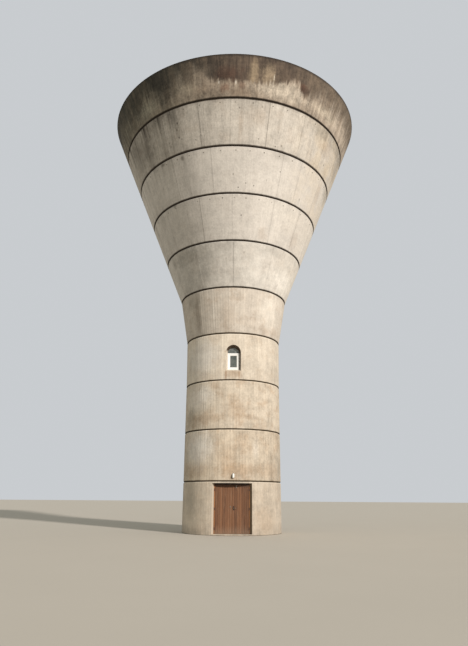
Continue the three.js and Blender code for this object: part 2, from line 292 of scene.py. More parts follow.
def cast_ring_tree():
    tree, given = geometry_tree("cast_ring", {
        "Int": "Boards, Rows, Seed", "Float": "Relief, Fin",
        "Material": "Outer Material, Inner Material"})
    # Three columns a board: the fin's crest, then the two edges of the board's flat face.
    columns = add(tree, "Math MULTIPLY_ADD", (given, "Boards"), 3.0, 1.0)
    rows = add(tree, "Math ADD", (given, "Rows"), 1.0)
    grid = add(tree, "MeshGrid", {"Vertices X": columns, "Vertices Y": rows})
    index = add(tree, "InputIndex")
    column = add(tree, "Math ADD", add(tree, "Math DIVIDE", index, rows), NUDGE)
    column = add(tree, "Math FLOOR", column)
    row = add(tree, "Math SUBTRACT", index, add(tree, "Math MULTIPLY", column, rows))
    row = add(tree, "Math MODULO", row, (given, "Rows"))
    third = add(tree, "Math ADD", add(tree, "Math DIVIDE", column, 3.0), NUDGE)
    board = add(tree, "Math FLOOR", third)
    part = add(tree, "Math SUBTRACT", column, add(tree, "Math MULTIPLY", board, 3.0))
    corner = add(tree, "SampleIndex FLOAT_VECTOR", {
        "Geometry": (given, "Geometry"), "Value": add(tree, "InputPosition"), "Index": row})
    corner = add(tree, "SeparateXYZ", corner)
    # Angle of the column, measured from the back of the tower so that the seam is out of sight.
    pitch = add(tree, "Math DIVIDE", math.tau, (given, "Boards"))
    fin = add(tree, "Math DIVIDE", (given, "Fin"), (corner, "X"))
    first_edge = add(tree, "Math COMPARE", part, 1.0, 0.5)
    last_edge = add(tree, "Math COMPARE", part, 2.0, 0.5)
    angle = add(tree, "Math ADD", board, last_edge)
    angle = add(tree, "Math MULTIPLY_ADD", angle, pitch, -math.pi)
    inward = add(tree, "Math SUBTRACT", first_edge, last_edge)
    angle = add(tree, "Math MULTIPLY_ADD", inward, fin, angle)
    # Each board's face stands back from the fin by its own amount.
    depth = add(tree, "RandomValue", {"Min": 0.3, "Max": 1.0, "ID": board, "Seed": (given, "Seed")})
    depth = add(tree, "Math MULTIPLY", depth, add(tree, "Math ADD", first_edge, last_edge))
    depth = add(tree, "Math MULTIPLY", depth, (given, "Relief"))
    depth = add(tree, "Math MULTIPLY", depth, add(tree, "Math MAXIMUM", (corner, "Y"), 0.0))
    radius = add(tree, "Math SUBTRACT", (corner, "X"), depth)
    x = add(tree, "Math MULTIPLY", add(tree, "Math SINE", angle), radius)
    y = add(tree, "Math MULTIPLY", add(tree, "Math COSINE", angle), radius)
    place = add(tree, "CombineXYZ", x, add(tree, "Math MULTIPLY", y, -1.0), (corner, "Z"))
    ring = add(tree, "SetPosition", {"Geometry": grid, "Position": place})
    inner = add(tree, "Math COMPARE", (corner, "Y"), -1.0, 0.1)
    ring = add(tree, "StoreNamedAttribute", {"Geometry": ring, "Name": "inner_face", "Value": inner})
    ring = add(tree, "MergeByDistance", {"Geometry": ring, "Distance": WELD})
    ring = add(tree, "SetMaterial", {"Geometry": ring, "Material": (given, "Outer Material")})
    is_inner = add(tree, "Compare", add(tree, "InputNamedAttribute", {"Name": "inner_face"}), 0.9)
    ring = add(tree, "SetMaterial", {
        "Geometry": ring, "Selection": is_inner, "Material": (given, "Inner Material")})
    add(tree, "GroupOutput", add(tree, "RealizeInstances", ring))
    return tree


cast_ring = cast_ring_tree()
print("tree", cast_ring.name, "has", len(cast_ring.nodes), "nodes")

# %% Run a tree on a holder and keep the result as a plain mesh
SHARP_EDGE = math.radians(24)


def new_piece(name, mesh):
    piece = bpy.data.objects.new(name, mesh)
    scene.collection.objects.link(piece)
    return piece


def tidy_mesh(mesh):
    """Merges doubles, points the faces outwards and marks the sharp edges."""
    work = bmesh.new()
    work.from_mesh(mesh)
    bmesh.ops.remove_doubles(work, verts=work.verts, dist=WELD)
    bmesh.ops.recalc_face_normals(work, faces=work.faces)
    work.to_mesh(mesh)
    work.free()
    mesh.shade_smooth()
    mesh.set_sharp_from_angle(angle=SHARP_EDGE)
    return mesh


def evaluated(piece):
    """A piece's mesh with its modifiers done."""
    return bpy.data.meshes.new_from_object(piece.evaluated_get(bpy.context.evaluated_depsgraph_get()))


def grown(name, tree, points, values):
    """The mesh that a tree makes from a holder with these points, as a new object at the origin."""
    start = bpy.data.meshes.new(name)
    start.from_pydata(points, [], [])
    holder = new_piece(name, start)
    modifier = holder.modifiers.new("build", "NODES")
    modifier.node_group = tree
    for item in tree.interface.items_tree:
        if item.in_out == "INPUT" and item.name in values:
            modifier[item.identifier] = values[item.name]
    mesh = evaluated(holder)
    bpy.data.objects.remove(holder)
    bpy.data.meshes.remove(start)
    mesh.name = name
    return new_piece(name, tidy_mesh(mesh))


# %% [markdown]
# ## Board-marked concrete
# The wall is grey-buff concrete, cast against timber boards on the shaft and wide panels on the cone,
# then left to decades of weather. Rain carries dirt down it in streaks, the side away from the sun
# stays damp and goes grey, with soot and painted shade laid over it, and the joints collect grime
# under their small overhang. Below a joint the shaft has a pale arris, partly washed and partly a
# painted highlight, and the cone a painted soft shade. The flank between the light and the shade has
# painted light on the shaft and painted shade on the cone. Close up the eye sees the dark line where
# two boards met, blowholes where bubbles of air broke at the face, dark inside with painted shade, and
# dirty pits. A photograph of a wall could be wrapped round it, but it would repeat and stretch. The
# nodes below work in metres on the round wall itself: azimuth times radius goes round, Z goes up, and
# noise reads the direction from the axis, so that nothing shows a seam at the back.

# %% A group for where a point is on the round wall
def round_wall_group():
    tree, given = new_tree("round_wall", "ShaderNodeTree", {"Float": "Radius, Seed"}, {
        "Float": "Azimuth, Level", "Vector": "Cloud Place, Streak Place, Facing"})
    place = add(tree, "SeparateXYZ", (add(tree, "TexCoord"), "Object"))
    back = add(tree, "Math MULTIPLY", (place, "Y"), -1.0)
    azimuth = add(tree, "Math ARCTAN2", (place, "X"), back)
    facing = add(tree, "VectorMath NORMALIZE", add(tree, "CombineXYZ", (place, "X"), (place, "Y")))
    girth = add(tree, "VectorMath SCALE", {0: facing, "Scale": (given, "Radius")})
    girth = add(tree, "SeparateXYZ", girth)
    shift = add(tree, "Math MULTIPLY", (given, "Seed"), 31.7)
    level = add(tree, "Math ADD", (place, "Z"), shift)
    cloud = add(tree, "CombineXYZ", (girth, "X"), (girth, "Y"), level)
    # Streaks are the same noise with the height pressed to a fourteenth, so that they run down.
    level = add(tree, "Math MULTIPLY_ADD", (place, "Z"), 0.07, shift)
    streak = add(tree, "CombineXYZ", (girth, "X"), (girth, "Y"), level)
    add(tree, "GroupOutput", {"Azimuth": azimuth, "Level": (place, "Z"), "Cloud Place": cloud,
                              "Streak Place": streak, "Facing": facing})
    return tree


round_wall = round_wall_group()
print("group", round_wall.name, len(round_wall.nodes), "nodes")


# %% A group for one stain
def wall_stain_group():
    tree, given = new_tree("wall_stain", "ShaderNodeTree", {
        "Float": "Azimuth, Level, Across, Down, Radius, Ragged"}, {"Float": "Mask"})
    wall = add(tree, "Group", {"node_tree": round_wall, "Radius": (given, "Radius"), "Seed": 3.0})
    turn = add(tree, "Math SUBTRACT", (wall, "Azimuth"), (given, "Azimuth"))
    across = add(tree, "Math MULTIPLY", turn, (given, "Radius"))
    across = add(tree, "Math DIVIDE", across, (given, "Across"))
    down = add(tree, "Math SUBTRACT", (wall, "Level"), (given, "Level"))
    down = add(tree, "Math DIVIDE", down, (given, "Down"))
    length = add(tree, "VectorMath LENGTH", add(tree, "CombineXYZ", across, down))
    # Half of the raggedness is cloudy and half runs down, as where rain has carried the stain on.
    cloudy = add(tree, "TexNoise", (wall, "Cloud Place"), 5.0, 4.0, 0.6)
    runny = add(tree, "TexNoise", (wall, "Streak Place"), 7.0, 4.0, 0.6)
    edge = add(tree, "Math SUBTRACT", add(tree, "Math ADD", cloudy, runny), 1.0)
    edge = add(tree, "Math MULTIPLY", edge, 0.7)
    length = add(tree, "Math MULTIPLY_ADD", edge, (given, "Ragged"), (length, "Value"))
    add(tree, "GroupOutput", (length, 1.0, 0.2))
    return tree


wall_stain = wall_stain_group()
print("group", wall_stain.name, len(wall_stain.nodes), "nodes")

# %% A group for the weathered face of one lift
# Degrees of azimuth: the damp side, which takes soot and painted shade, the flank between it and the
# light, and the side most washed.
SHADED_SIDE, FLANK_SIDE, SUNNY_SIDE = -75, -33, 66


def toward(tree, wall, degrees, start, end):
    """How far a point of the wall faces an azimuth, as a smooth step that closes round the back."""
    way = (math.sin(math.radians(degrees)), -math.cos(math.radians(degrees)), 0.0)
    dot = add(tree, "VectorMath DOT_PRODUCT", (wall, "Facing"), way)
    return add(tree, "MapRange SMOOTHSTEP", (dot, "Value"), start, end)


def weathered_face_group():
    """Tone, grime, tan wash, brown mottling and bump height of a lift's outer face. The tone carries
    painted light and shade, and the grime painted shade.
    """
    tree, given = new_tree("weathered_face", "ShaderNodeTree", {
        "Float": "Radius, Foot, Head, Seed, Cloud, Mottle, Speck, Streak, Layers, Runs, Board, "
                 "Board Tone, Soot, Wash, Damp, Brown, Flank, Arris, Reach Down, Reach Up, Pits, Sand, "
                 "Board Line"},
        {"Float": "Tone, Grime, Joint, Tan, Brown, Height"})
    wall = add(tree, "Group", {
        "node_tree": round_wall, "Radius": (given, "Radius"), "Seed": (given, "Seed")})
    cloudy, streaky = (wall, "Cloud Place"), (wall, "Streak Place")
    pressed = add(tree, "Mapping", {"Vector": cloudy, "Scale": (0.12, 0.12, 1.0)})
    noise = {name: add(tree, "TexNoise", place, scale, detail, 0.62) for name, place, scale, detail in (
        ("cloud", cloudy, 0.8, 4.0), ("mottle", cloudy, 3.2, 5.0), ("speck", cloudy, 13.0, 4.0),
        ("brown", cloudy, 1.9, 6.0), ("grit", cloudy, 55.0, 3.0), ("layer", pressed, 5.0, 4.0),
        ("streak", streaky, 2.6, 5.0), ("fine_streak", streaky, 12.0, 4.0),
        ("grain", streaky, 60.0, 3.0))}
    # Boards: each took up a little more or less water from the mix, and dried lighter or darker.
    girth = add(tree, "Math ADD", (wall, "Azimuth"), math.pi)
    girth = add(tree, "Math MULTIPLY", girth, (given, "Radius"))
    board = add(tree, "Math DIVIDE", girth, (given, "Board"))
    number = add(tree, "Math MULTIPLY_ADD", (given, "Seed"), 57.0, add(tree, "Math FLOOR", board))
    shade = add(tree, "Math SUBTRACT", add(tree, "TexWhiteNoise 1D", {"W": number}), 0.5)
    tone = add(tree, "Math MULTIPLY_ADD", shade, (given, "Board Tone"), 1.0)
    for amount, name in (
            ("Cloud", "cloud"), ("Mottle", "mottle"), ("Speck", "speck"), ("Streak", "streak"),
            ("Streak", "fine_streak"), ("Streak", "grain"), ("Sand", "grit"), ("Layers", "layer")):
        even = (noise[name], 0.27, 0.73, -1.0, 1.0)
        tone = add(tree, "Math MULTIPLY_ADD", even, (given, amount), tone)
    # The line where two boards met: it darkens over a board's last 6 mm, and grout has broken it.
    middle = add(tree, "Math SUBTRACT", add(tree, "Math FRACT", board), 0.5)
    line = where(tree, (add(tree, "Math ABSOLUTE", middle), 0.45, 0.49),
                 (noise["fine_streak"], 0.35, 0.6, 0.2, 1.0))
    tone = add(tree, "Math SUBTRACT", tone, add(tree, "Math MULTIPLY", line, (given, "Board Line")))
    # Blowholes, where a bubble of air broke at the face: round, and dark inside with painted shade.
    blown = add(tree, "TexVoronoi", cloudy, 9.0)
    hole = where(tree, (blown, 0.075, 0.045), (add(tree, "SeparateColor", (blown, "Color")), 0.5, 0.6))
    tone = add(tree, "Math MULTIPLY_ADD", hole, -0.35, tone)
    # One flank, between the light and the dark side, is painted apart from the rest: painted light on
    # the shaft, painted shade on the cone.
    flank_light_and_shade = toward(tree, wall, FLANK_SIDE, 0.6, 1.0)
    tone = add(tree, "Math MULTIPLY_ADD", flank_light_and_shade, (given, "Flank"), tone)
    # Heights from the joints, in reaches of their grime. Below it the shaft has a pale arris, partly
    # washed and partly a painted highlight, and the cone, which hangs over, a painted soft shade.
    below = add(tree, "Math SUBTRACT", (given, "Head"), (wall, "Level"))
    above = add(tree, "Math SUBTRACT", (wall, "Level"), (given, "Foot"))
    wander = add(tree, "MapRange SMOOTHSTEP", noise["mottle"], 0.3, 0.7, -0.08, 0.08)
    below_joint, above_joint = (
        add(tree, "Math ADD", add(tree, "Math DIVIDE", height, (given, reach)), wander)
        for height, reach in ((below, "Reach Down"), (above, "Reach Up")))
    arris_highlight_and_shade = where(tree, (below_joint, 0.9, 1.15), (below_joint, 1.7, 2.6, 1.0, 0.0))
    tone = add(tree, "Math MULTIPLY_ADD", arris_highlight_and_shade, (given, "Arris"), tone)
    # Rain leaves the joint overhead and dries out on the way down, slowest on the damp side.
    shaded = toward(tree, wall, SHADED_SIDE, 0.3, 0.9)
    run = where(tree, (noise["streak"], 0.45, 0.7), (below, 0.0, 1.2, 1.0, 0.2),
                (shaded, 0.0, 1.0, 0.6, 1.5))
    run = add(tree, "Math MULTIPLY", run, (given, "Runs"))
    # Soot and painted shade, in streaks, on the damp side away from the light.
    soot_and_painted_shade = add(tree, "Math MULTIPLY", shaded, (noise["streak"], 0.3, 0.7, 0.5, 1.0))
    grime_and_shade = add(tree, "Math MULTIPLY_ADD", soot_and_painted_shade, (given, "Soot"), run)
    # The foot of a lift stays damp where it meets the chamfer, or the ground.
    damp = where(tree, (above, 0.0, 0.5, 1.0, 0.0), (noise["streak"], 0.35, 0.65))
    grime_and_shade = add(tree, "Math MULTIPLY_ADD", damp, (given, "Damp"), grime_and_shade)
    # Grime under the overhang of a joint: the chamfer, the underside and a soft edge above it.
    joint = add(tree, "Math MAXIMUM", (below_joint, 0.8, 1.15, 1.0, 0.0),
                (above_joint, 0.3, 1.1, 0.95, 0.0))
    # Pits: air bubbles against the shutter that have weathered open and hold dirt, gathered in patches.
    pitted = add(tree, "Mapping", {"Vector": cloudy, "Scale": (1.0, 1.0, 0.6)})
    pitted = add(tree, "TexVoronoi", pitted, 4.0)
    pit = where(tree, (pitted, 0.19, 0.07), (add(tree, "SeparateColor", (pitted, "Color")), 0.45, 0.8),
                (noise["brown"], 0.48, 0.6, 0.1, 1.0))
    grime_and_shade = add(tree, "Math MULTIPLY_ADD", pit, (given, "Pits"), grime_and_shade)
    seam = add(tree, "Attribute", {"attribute_name": "seam_dirt"})
    grime_and_shade = add(tree, "Math MAXIMUM", grime_and_shade, (seam, "Fac"))
    washed = add(tree, "Math MULTIPLY", toward(tree, wall, SUNNY_SIDE, 0.78, 1.0),
                 (noise["cloud"], 0.35, 0.62))
    washed = add(tree, "Math MULTIPLY", washed, (given, "Wash"))
    brown = add(tree, "Math MULTIPLY", (noise["brown"], 0.47, 0.68), (given, "Brown"))
    # Bump: sand in the face, the grain of the boards, the line between them and the blowholes.
    height = noise["fine_streak"]
    grain = add(tree, "Math MULTIPLY", noise["grain"], (given, "Board Line"))
    for rise, amount in ((noise["grit"], 0.7), (noise["speck"], 0.8), (grain, 5.0), (hole, -0.8)):
        height = add(tree, "Math MULTIPLY_ADD", rise, amount, height)
    add(tree, "GroupOutput", tone, grime_and_shade, joint, washed, brown, height)
    return tree


weathered_face = weathered_face_group()
print("group", weathered_face.name, len(weathered_face.nodes), "nodes")

# %% Cast concrete, one material a lift
BOARD, PANEL = 0.125, 1.22  # about the width of a shutter board on the shaft and of a panel on the cone
# The first colour is for grime, and also for the painted shade laid with it on the damp side.
GRIME_AND_SHADE, TAN, BROWN, GREY, PINK = "3f382f", "c3b092", "987c5e", "7d776c", "b3977d"
# The cool pale is painted light, laid on the shaded flank of the shaft.
PALE, RUST, COOL_PAINTED_LIGHT = "e3dccf", "8c663f", "cdccca"
JOINT_DIRT = {"shaft": "43351f", "cone": "30251a"}
# How far the dirt of each joint reaches down and up, in metres, from the ground to the rim.
REACH_DOWN = (0.02, 0.034, 0.034, 0.034, 0.036, 0.04, 0.042, 0.044, 0.05, 0.08, 0.02)
REACH_UP = (0.02, 0.035, 0.035, 0.035, 0.045, 0.045, 0.05, 0.055, 0.065, 0.05, 0.02)


def mid_radius(lift):
    return (joint_r[lift - 1] + joint_r[lift]) / 2


def boards_round(lift):
    """How many whole boards went round a lift, and so how wide each was."""
    girth = math.tau * mid_radius(lift)
    count = round(girth / BOARD)
    return count, girth / count


def concrete_face(tree, lift, amounts):
    """The weathered face group set to one lift's place."""
    if lift <= SHAFT_LIFTS:
        amounts = {**amounts, "Board": boards_round(lift)[1]}
    return add(tree, "Group", {
        "node_tree": weathered_face, "Radius": mid_radius(lift), "Foot": joint_z[lift - 1],
        "Head": joint_z[lift], "Seed": float(lift), "Reach Down": REACH_DOWN[lift],
        "Reach Up": REACH_UP[lift - 1], **amounts})


def stained(tree, colour, lift, stains):
    """Lays stains on: azimuth in degrees, level, half width and height, raggedness, hex, strength."""
    for azimuth, level, across, down, ragged, over, strength in stains:
        mask = add(tree, "Group", {
            "node_tree": wall_stain, "Azimuth": math.radians(azimuth), "Level": level, "Across": across,
            "Down": down, "Radius": mid_radius(lift), "Ragged": ragged})
        colour = layered(tree, colour, (mask, strength, over))
    return colour


def laid_dirt_and_shade(tree, lift, face, colour):
    """Grime with painted shade, the dirt of the joints, and the tone of the face over all, which
    carries painted light and shade.
    """
    colour = layered(tree, colour, ((face, "Grime"), 1, GRIME_AND_SHADE))
    colour = add(tree, "Mix RGBA", 1.0, colour, (face, "Tone"), blend_type="MULTIPLY")
    dirt = JOINT_DIRT["shaft" if lift <= SHAFT_LIFTS else "cone"]
    return layered(tree, colour, ((face, "Joint"), 1, dirt))


def cast_concrete(lift, base, amounts, stains):
    """Concrete straight from the shutter: matt, sandy, with the mould's marks and the rain's."""
    made, tree = new_material(f"cast_concrete_lift_{lift:02d}")
    face = concrete_face(tree, lift, amounts)
    colour = layered(tree, linear(base), ((face, "Brown"), 1, BROWN), ((face, "Tan"), 1, TAN))
    colour = laid_dirt_and_shade(tree, lift, face, stained(tree, colour, lift, stains))
    return finish(made, colour, ((face, "Tone"), 0.8, 1.2, 0.95, 0.85), (0.6, 0.006, (face, "Height")))


SHAFT = {"Cloud": 0.04, "Mottle": 0.07, "Speck": 0.075, "Streak": 0.065, "Layers": 0.03, "Runs": 0.1,
         "Board Tone": 0.075, "Soot": 0.0, "Wash": 0.0, "Damp": 0.12, "Brown": 0.15,
         "Flank": 0.12, "Arris": 0.13, "Pits": 0.12, "Sand": 0.04, "Board Line": 0.16}
CONE = {"Cloud": 0.05, "Mottle": 0.05, "Speck": 0.075, "Streak": 0.035, "Layers": 0.03, "Runs": 0.12,
        "Board": PANEL, "Board Tone": 0.05, "Soot": 0.2, "Wash": 0.1, "Damp": 0.1, "Brown": 0.04,
        "Flank": -0.14, "Arris": -0.04, "Pits": 0.35, "Sand": 0.03, "Board Line": 0.0}
# The second lift's first stain is a painted shadow: the lamp's shadow, dark at its left foot.
LIFT_FINISH = {
    1: ("b9ad9c", {**SHAFT, "Damp": 0.35, "Mottle": 0.09, "Flank": 0.26},
        [(0, 2.02, 1.0, 0.07, 0.4, GREY, 0.6), (-55, 1.3, 0.5, 0.9, 0.9, GREY, 0.3),
         (-38, 0.9, 0.7, 0.7, 0.9, GREY, 0.1), (40, 0.5, 0.9, 0.8, 0.9, BROWN, 0.25)]),
    2: ("b9ac99", {**SHAFT, "Mottle": 0.1, "Speck": 0.11, "Streak": 0.1, "Board Tone": 0.14,
                   "Brown": 0.36, "Flank": 0.27},
        [(-0.6, 2.2, 0.075, 0.1, 0.5, "4f4538", 0.75), (-6, 3.0, 0.7, 0.85, 1.6, BROWN, 0.3),
         (10, 3.6, 0.4, 0.5, 1.6, BROWN, 0.25), (27, 3.3, 0.25, 0.6, 0.9, PALE, 0.3),
         (-50, 3.2, 0.35, 0.6, 1.2, GREY, 0.2), (-25, 3.5, 0.15, 0.5, 0.6, PALE, 0.35),
         (-38, 3.6, 0.6, 0.5, 1.2, PALE, 0.2), (62, 2.7, 1.0, 0.9, 1.0, GREY, 0.3),
         (-46, 2.5, 1.2, 0.5, 1.2, "94806a", 0.4), (-46, 3.4, 1.3, 1.1, 0.8, COOL_PAINTED_LIGHT, 0.4),
         (6, 2.5, 1.3, 0.4, 1.2, BROWN, 0.5), (48, 2.5, 0.8, 0.5, 1.2, BROWN, 0.3)]),
    3: ("c1b5a3", {**SHAFT, "Mottle": 0.1, "Speck": 0.09, "Streak": 0.085, "Layers": 0.06,
                   "Board Tone": 0.1, "Brown": 0.4, "Flank": 0.18},
        [(-32, 4.6, 1.1, 0.4, 1.7, BROWN, 0.38), (6, 4.9, 0.7, 0.7, 1.7, BROWN, 0.35),
         (-16, 5.7, 0.35, 0.35, 1.4, BROWN, 0.1), (-58, 4.8, 0.5, 0.6, 1.3, GREY, 0.4),
         (-32, 5.7, 0.6, 0.5, 1.2, PALE, 0.3), (0, 5.4, 0.4, 0.4, 1.4, BROWN, 0.2),
         (-54, 4.5, 1.1, 0.5, 1.4, "94806a", 0.32), (-48, 5.5, 1.2, 0.8, 0.8, COOL_PAINTED_LIGHT, 0.3)]),
    4: ("cabfae", {**SHAFT, "Brown": 0.2, "Flank": 0.2},
        [(-8.2, 6.42, 0.075, 0.38, 0.9, "84592f", 0.55), (7.5, 6.42, 0.09, 0.36, 1.2, RUST, 0.5),
         (0.5, 6.46, 0.38, 0.34, 1.4, BROWN, 0.32), (10.5, 6.38, 0.05, 0.2, 0.8, RUST, 0.3),
         (-9, 7.45, 0.05, 0.06, 0.4, PINK, 0.6), (-60, 7.2, 0.5, 1.0, 1.3, GREY, 0.15),
         (-42, 7.3, 1.4, 1.2, 0.8, COOL_PAINTED_LIGHT, 0.35), (0, 6.6, 0.7, 0.4, 1.2, BROWN, 0.25),
         (60, 6.7, 1.3, 0.6, 1.2, GREY, 0.2)]),
    5: ("ccc2b4", {**SHAFT, "Speck": 0.06, "Streak": 0.03, "Cloud": 0.05, "Brown": 0.28, "Soot": 0.14,
                   "Flank": 0.0, "Arris": -0.05},
        [(-43, 9.3, 0.24, 1.4, 0.9, "77695a", 0.5), (-48, 9.9, 0.8, 0.5, 1.2, GREY, 0.3),
         (-6, 9.1, 0.5, 0.9, 1.3, BROWN, 0.2), (-22, 9.2, 0.04, 1.0, 0.3, PALE, 0.5),
         (12, 8.8, 0.5, 0.3, 1.5, BROWN, 0.1), (45, 9.5, 1.0, 1.0, 1.2, PALE, 0.45),
         (15, 8.7, 0.6, 0.4, 1.2, PALE, 0.3)]),
    6: ("d9d3c9", {**CONE, "Cloud": 0.07, "Mottle": 0.07, "Streak": 0.025, "Layers": 0.04, "Brown": 0.1,
                   "Flank": -0.16},
        [(-24, 11.7, 0.65, 0.75, 1.6, GREY, 0.25), (-8, 12.0, 0.6, 0.35, 1.5, GREY, 0.2),
         (-28, 10.9, 0.5, 0.5, 1.4, GREY, 0.25), (46, 11.4, 0.45, 0.3, 1.5, GREY, 0.1),
         (56, 10.9, 1.2, 0.7, 1.0, "efe9de", 0.7), (-45, 11.9, 1.0, 0.5, 1.4, GREY, 0.35),
         (36, 12.0, 0.9, 0.4, 1.4, GREY, 0.25)]),
    7: ("d8d1c7", {**CONE, "Flank": -0.15},
        [(22, 12.6, 0.35, 0.4, 1.4, BROWN, 0.2), (53, 12.8, 0.4, 0.6, 1.5, BROWN, 0.2),
         (-30, 12.9, 0.8, 0.8, 1.4, GREY, 0.2), (-43, 14.1, 0.16, 0.12, 0.8, GREY, 0.6),
         (35, 13.7, 1.6, 0.7, 1.0, PALE, 0.2)]),
    8: ("d8d1c7", {**CONE, "Wash": 0.3, "Flank": -0.12, "Runs": 0.2, "Pits": 0.5},
        [(-30, 15.88, 0.13, 0.16, 0.6, GREY, 0.8), (-44, 15.95, 0.2, 0.1, 0.9, GREY, 0.7),
         (64, 15.3, 0.3, 0.8, 0.9, BROWN, 0.25), (78, 15.8, 0.9, 0.6, 1.4, GREY, 0.4),
         (28, 15.9, 0.6, 0.25, 1.4, GREY, 0.2), (-38, 15.8, 1.2, 0.5, 1.4, GREY, 0.15),
         (-29, 15.0, 0.5, 1.2, 1.4, GREY, 0.2)]),
    9: ("d0c8bc", {**CONE, "Mottle": 0.07, "Speck": 0.1, "Streak": 0.08, "Layers": 0.04, "Runs": 0.45,
                   "Soot": 0.4, "Wash": 0.45, "Brown": 0.14, "Flank": -0.14, "Arris": -0.1,
                   "Pits": 0.75},
        [(-31, 17.5, 0.4, 0.9, 1.4, GREY, 0.5), (-40, 17.8, 1.8, 0.5, 2.2, "4f483e", 0.25),
         (-60, 17.2, 2.0, 1.2, 1.4, "5a5245", 0.3), (-30, 16.7, 0.6, 0.6, 1.4, GREY, 0.25),
         (-53, 17.0, 0.5, 0.8, 1.8, "5a5348", 0.3), (-66, 17.5, 0.8, 0.8, 1.8, "4f483e", 0.3),
         (10, 17.3, 0.8, 0.6, 1.6, BROWN, 0.15), (3, 16.9, 0.15, 0.8, 1.0, BROWN, 0.25),
         (57, 17.3, 0.9, 0.6, 1.6, BROWN, 0.25), (48, 17.7, 0.9, 0.4, 1.8, GREY, 0.35),
         (66, 17.8, 2.4, 0.5, 1.6, GREY, 0.35), (8, 17.8, 1.0, 0.3, 1.6, GREY, 0.2),
         (78, 17.5, 1.1, 1.3, 2.2, "5a5348", 0.3)]),
}
lift_material = {lift: cast_concrete(lift, *given) for lift, given in LIFT_FINISH.items()}
print(len(lift_material), "concrete materials")

# %% [markdown]
# ## The parapet's dark weathering
# The last lift is a thin wall that rain wets from both sides, so it stays damp, and lichen and soot
# have turned its upper half dark brown, olive on the damp side where algae grow. The lower half has
# stayed pale. The border between them was drawn by rain: it rises and falls round the wall, with drips
# below it. A Float Curve node holds that border as a line drawn over the azimuth, and streak
# noise frays it.

# %% The parapet's material
BORDER = ((-180, 0.45), (-120, 0.5), (-85, 0.42), (-70, 0.5), (-62, 0.4), (-57, 0.25), (-51, 0.36),
          (-43, 0.5), (-38, 0.34), (-35, 0.16), (-31, 0.22), (-28.5, 0.44), (-25, 0.52), (-18, 0.55),
          (-12, 0.47), (-9, 0.36), (0, 0.34), (10, 0.35), (16, 0.38), (20, 0.43), (25, 0.52),
          (28, 0.62), (30, 0.52), (33, 0.36), (37, 0.42), (40, 0.38), (44, 0.5), (48, 0.42), (54, 0.45),
          (60, 0.5), (72, 0.46), (88, 0.4), (125, 0.5), (180, 0.45))
DRAWN_SIDE = 12  # degrees: round here the border is crisp, and elsewhere it is a soft, blotchy change
TOP_STAINS = [(8, 19.0, 0.34, 0.8, 0.9, "9a8870", 0.85), (14.5, 19.0, 0.45, 0.7, 1.1, "9d8b74", 0.9),
              (31, 18.9, 0.5, 0.35, 1.2, "553a2c", 0.7), (-14, 19.1, 0.7, 0.5, 1.6, "6f6558", 0.4),
              (-36, 19.35, 1.3, 0.8, 1.4, "35312a", 0.65), (-3, 18.95, 0.9, 0.45, 1.4, "50382c", 0.65),
              (22, 19.1, 0.5, 0.5, 1.6, "6b5c4d", 0.5)]
LOW_STAINS = [(22, 18.5, 1.9, 0.6, 1.2, "cfc3b1", 0.75), (-68, 18.6, 1.6, 0.9, 1.4, "625a4b", 0.6),
              (-22, 18.6, 0.8, 0.4, 1.6, "a39784", 0.5), (-46, 18.5, 1.1, 0.5, 1.4, "b5ab99", 0.6),
              (-14, 18.4, 0.6, 0.4, 1.8, "7d6b59", 0.4), (-4, 18.4, 0.35, 0.3, 2.0, "6f503e", 0.6),
              (3, 18.5, 0.2, 0.3, 2.2, "6f503e", 0.5), (2, 18.2, 0.8, 0.25, 1.6, "85705c", 0.4),
              (48, 18.5, 1.2, 0.4, 1.5, "c9bda9", 0.6)]
PALE_RUNS = [(-7, 18.62, 0.05, 0.09, 0.6, "d6cec1", 0.8), (0.4, 18.6, 0.05, 0.12, 0.6, "d6cec1", 0.8),
             (17, 18.95, 0.04, 0.2, 0.5, "c9bfae", 0.8), (-43, 18.7, 0.05, 0.5, 0.5, "aca293", 0.6),
             (-68, 18.5, 0.06, 0.5, 0.5, "aca293", 0.6), (-57, 18.9, 0.05, 0.4, 0.5, "8f8676", 0.6)]


def parapet_border(tree, wall, share, drip, patchy):
    """How far a point lies inside the dark upper part, from 0 to 1."""
    around = add(tree, "MapRange", (wall, "Azimuth"), -math.pi, math.pi)
    curve = add(tree, "FloatCurve", {"Value": around})
    line = curve.mapping.curves[0]
    for point, (azimuth, level) in zip((line.points[0], line.points[-1]), (BORDER[0], BORDER[-1])):
        point.location = (azimuth / 360 + 0.5, level)
    for azimuth, level in BORDER[1:-1]:
        line.points.new(azimuth / 360 + 0.5, level)
    curve.mapping.update()
    crisp = toward(tree, wall, DRAWN_SIDE, 0.86, 0.95)
    blotchy, start, end = ((crisp, 0.0, 1.0, soft, sharp)
                           for soft, sharp in ((0.18, 0.06), (-0.34, -0.06), (0.38, 0.09)))
    fray = add(tree, "Math MULTIPLY_ADD", (drip, 0.25, 0.75, -1.0, 1.0), 0.07, share)
    blotch = add(tree, "Math MULTIPLY", (patchy, 0.6, 1.4, -1.0, 1.0), blotchy)
    over = add(tree, "Math SUBTRACT", add(tree, "Math ADD", fray, blotch), curve)
    return add(tree, "MapRange SMOOTHSTEP", over, start, end)


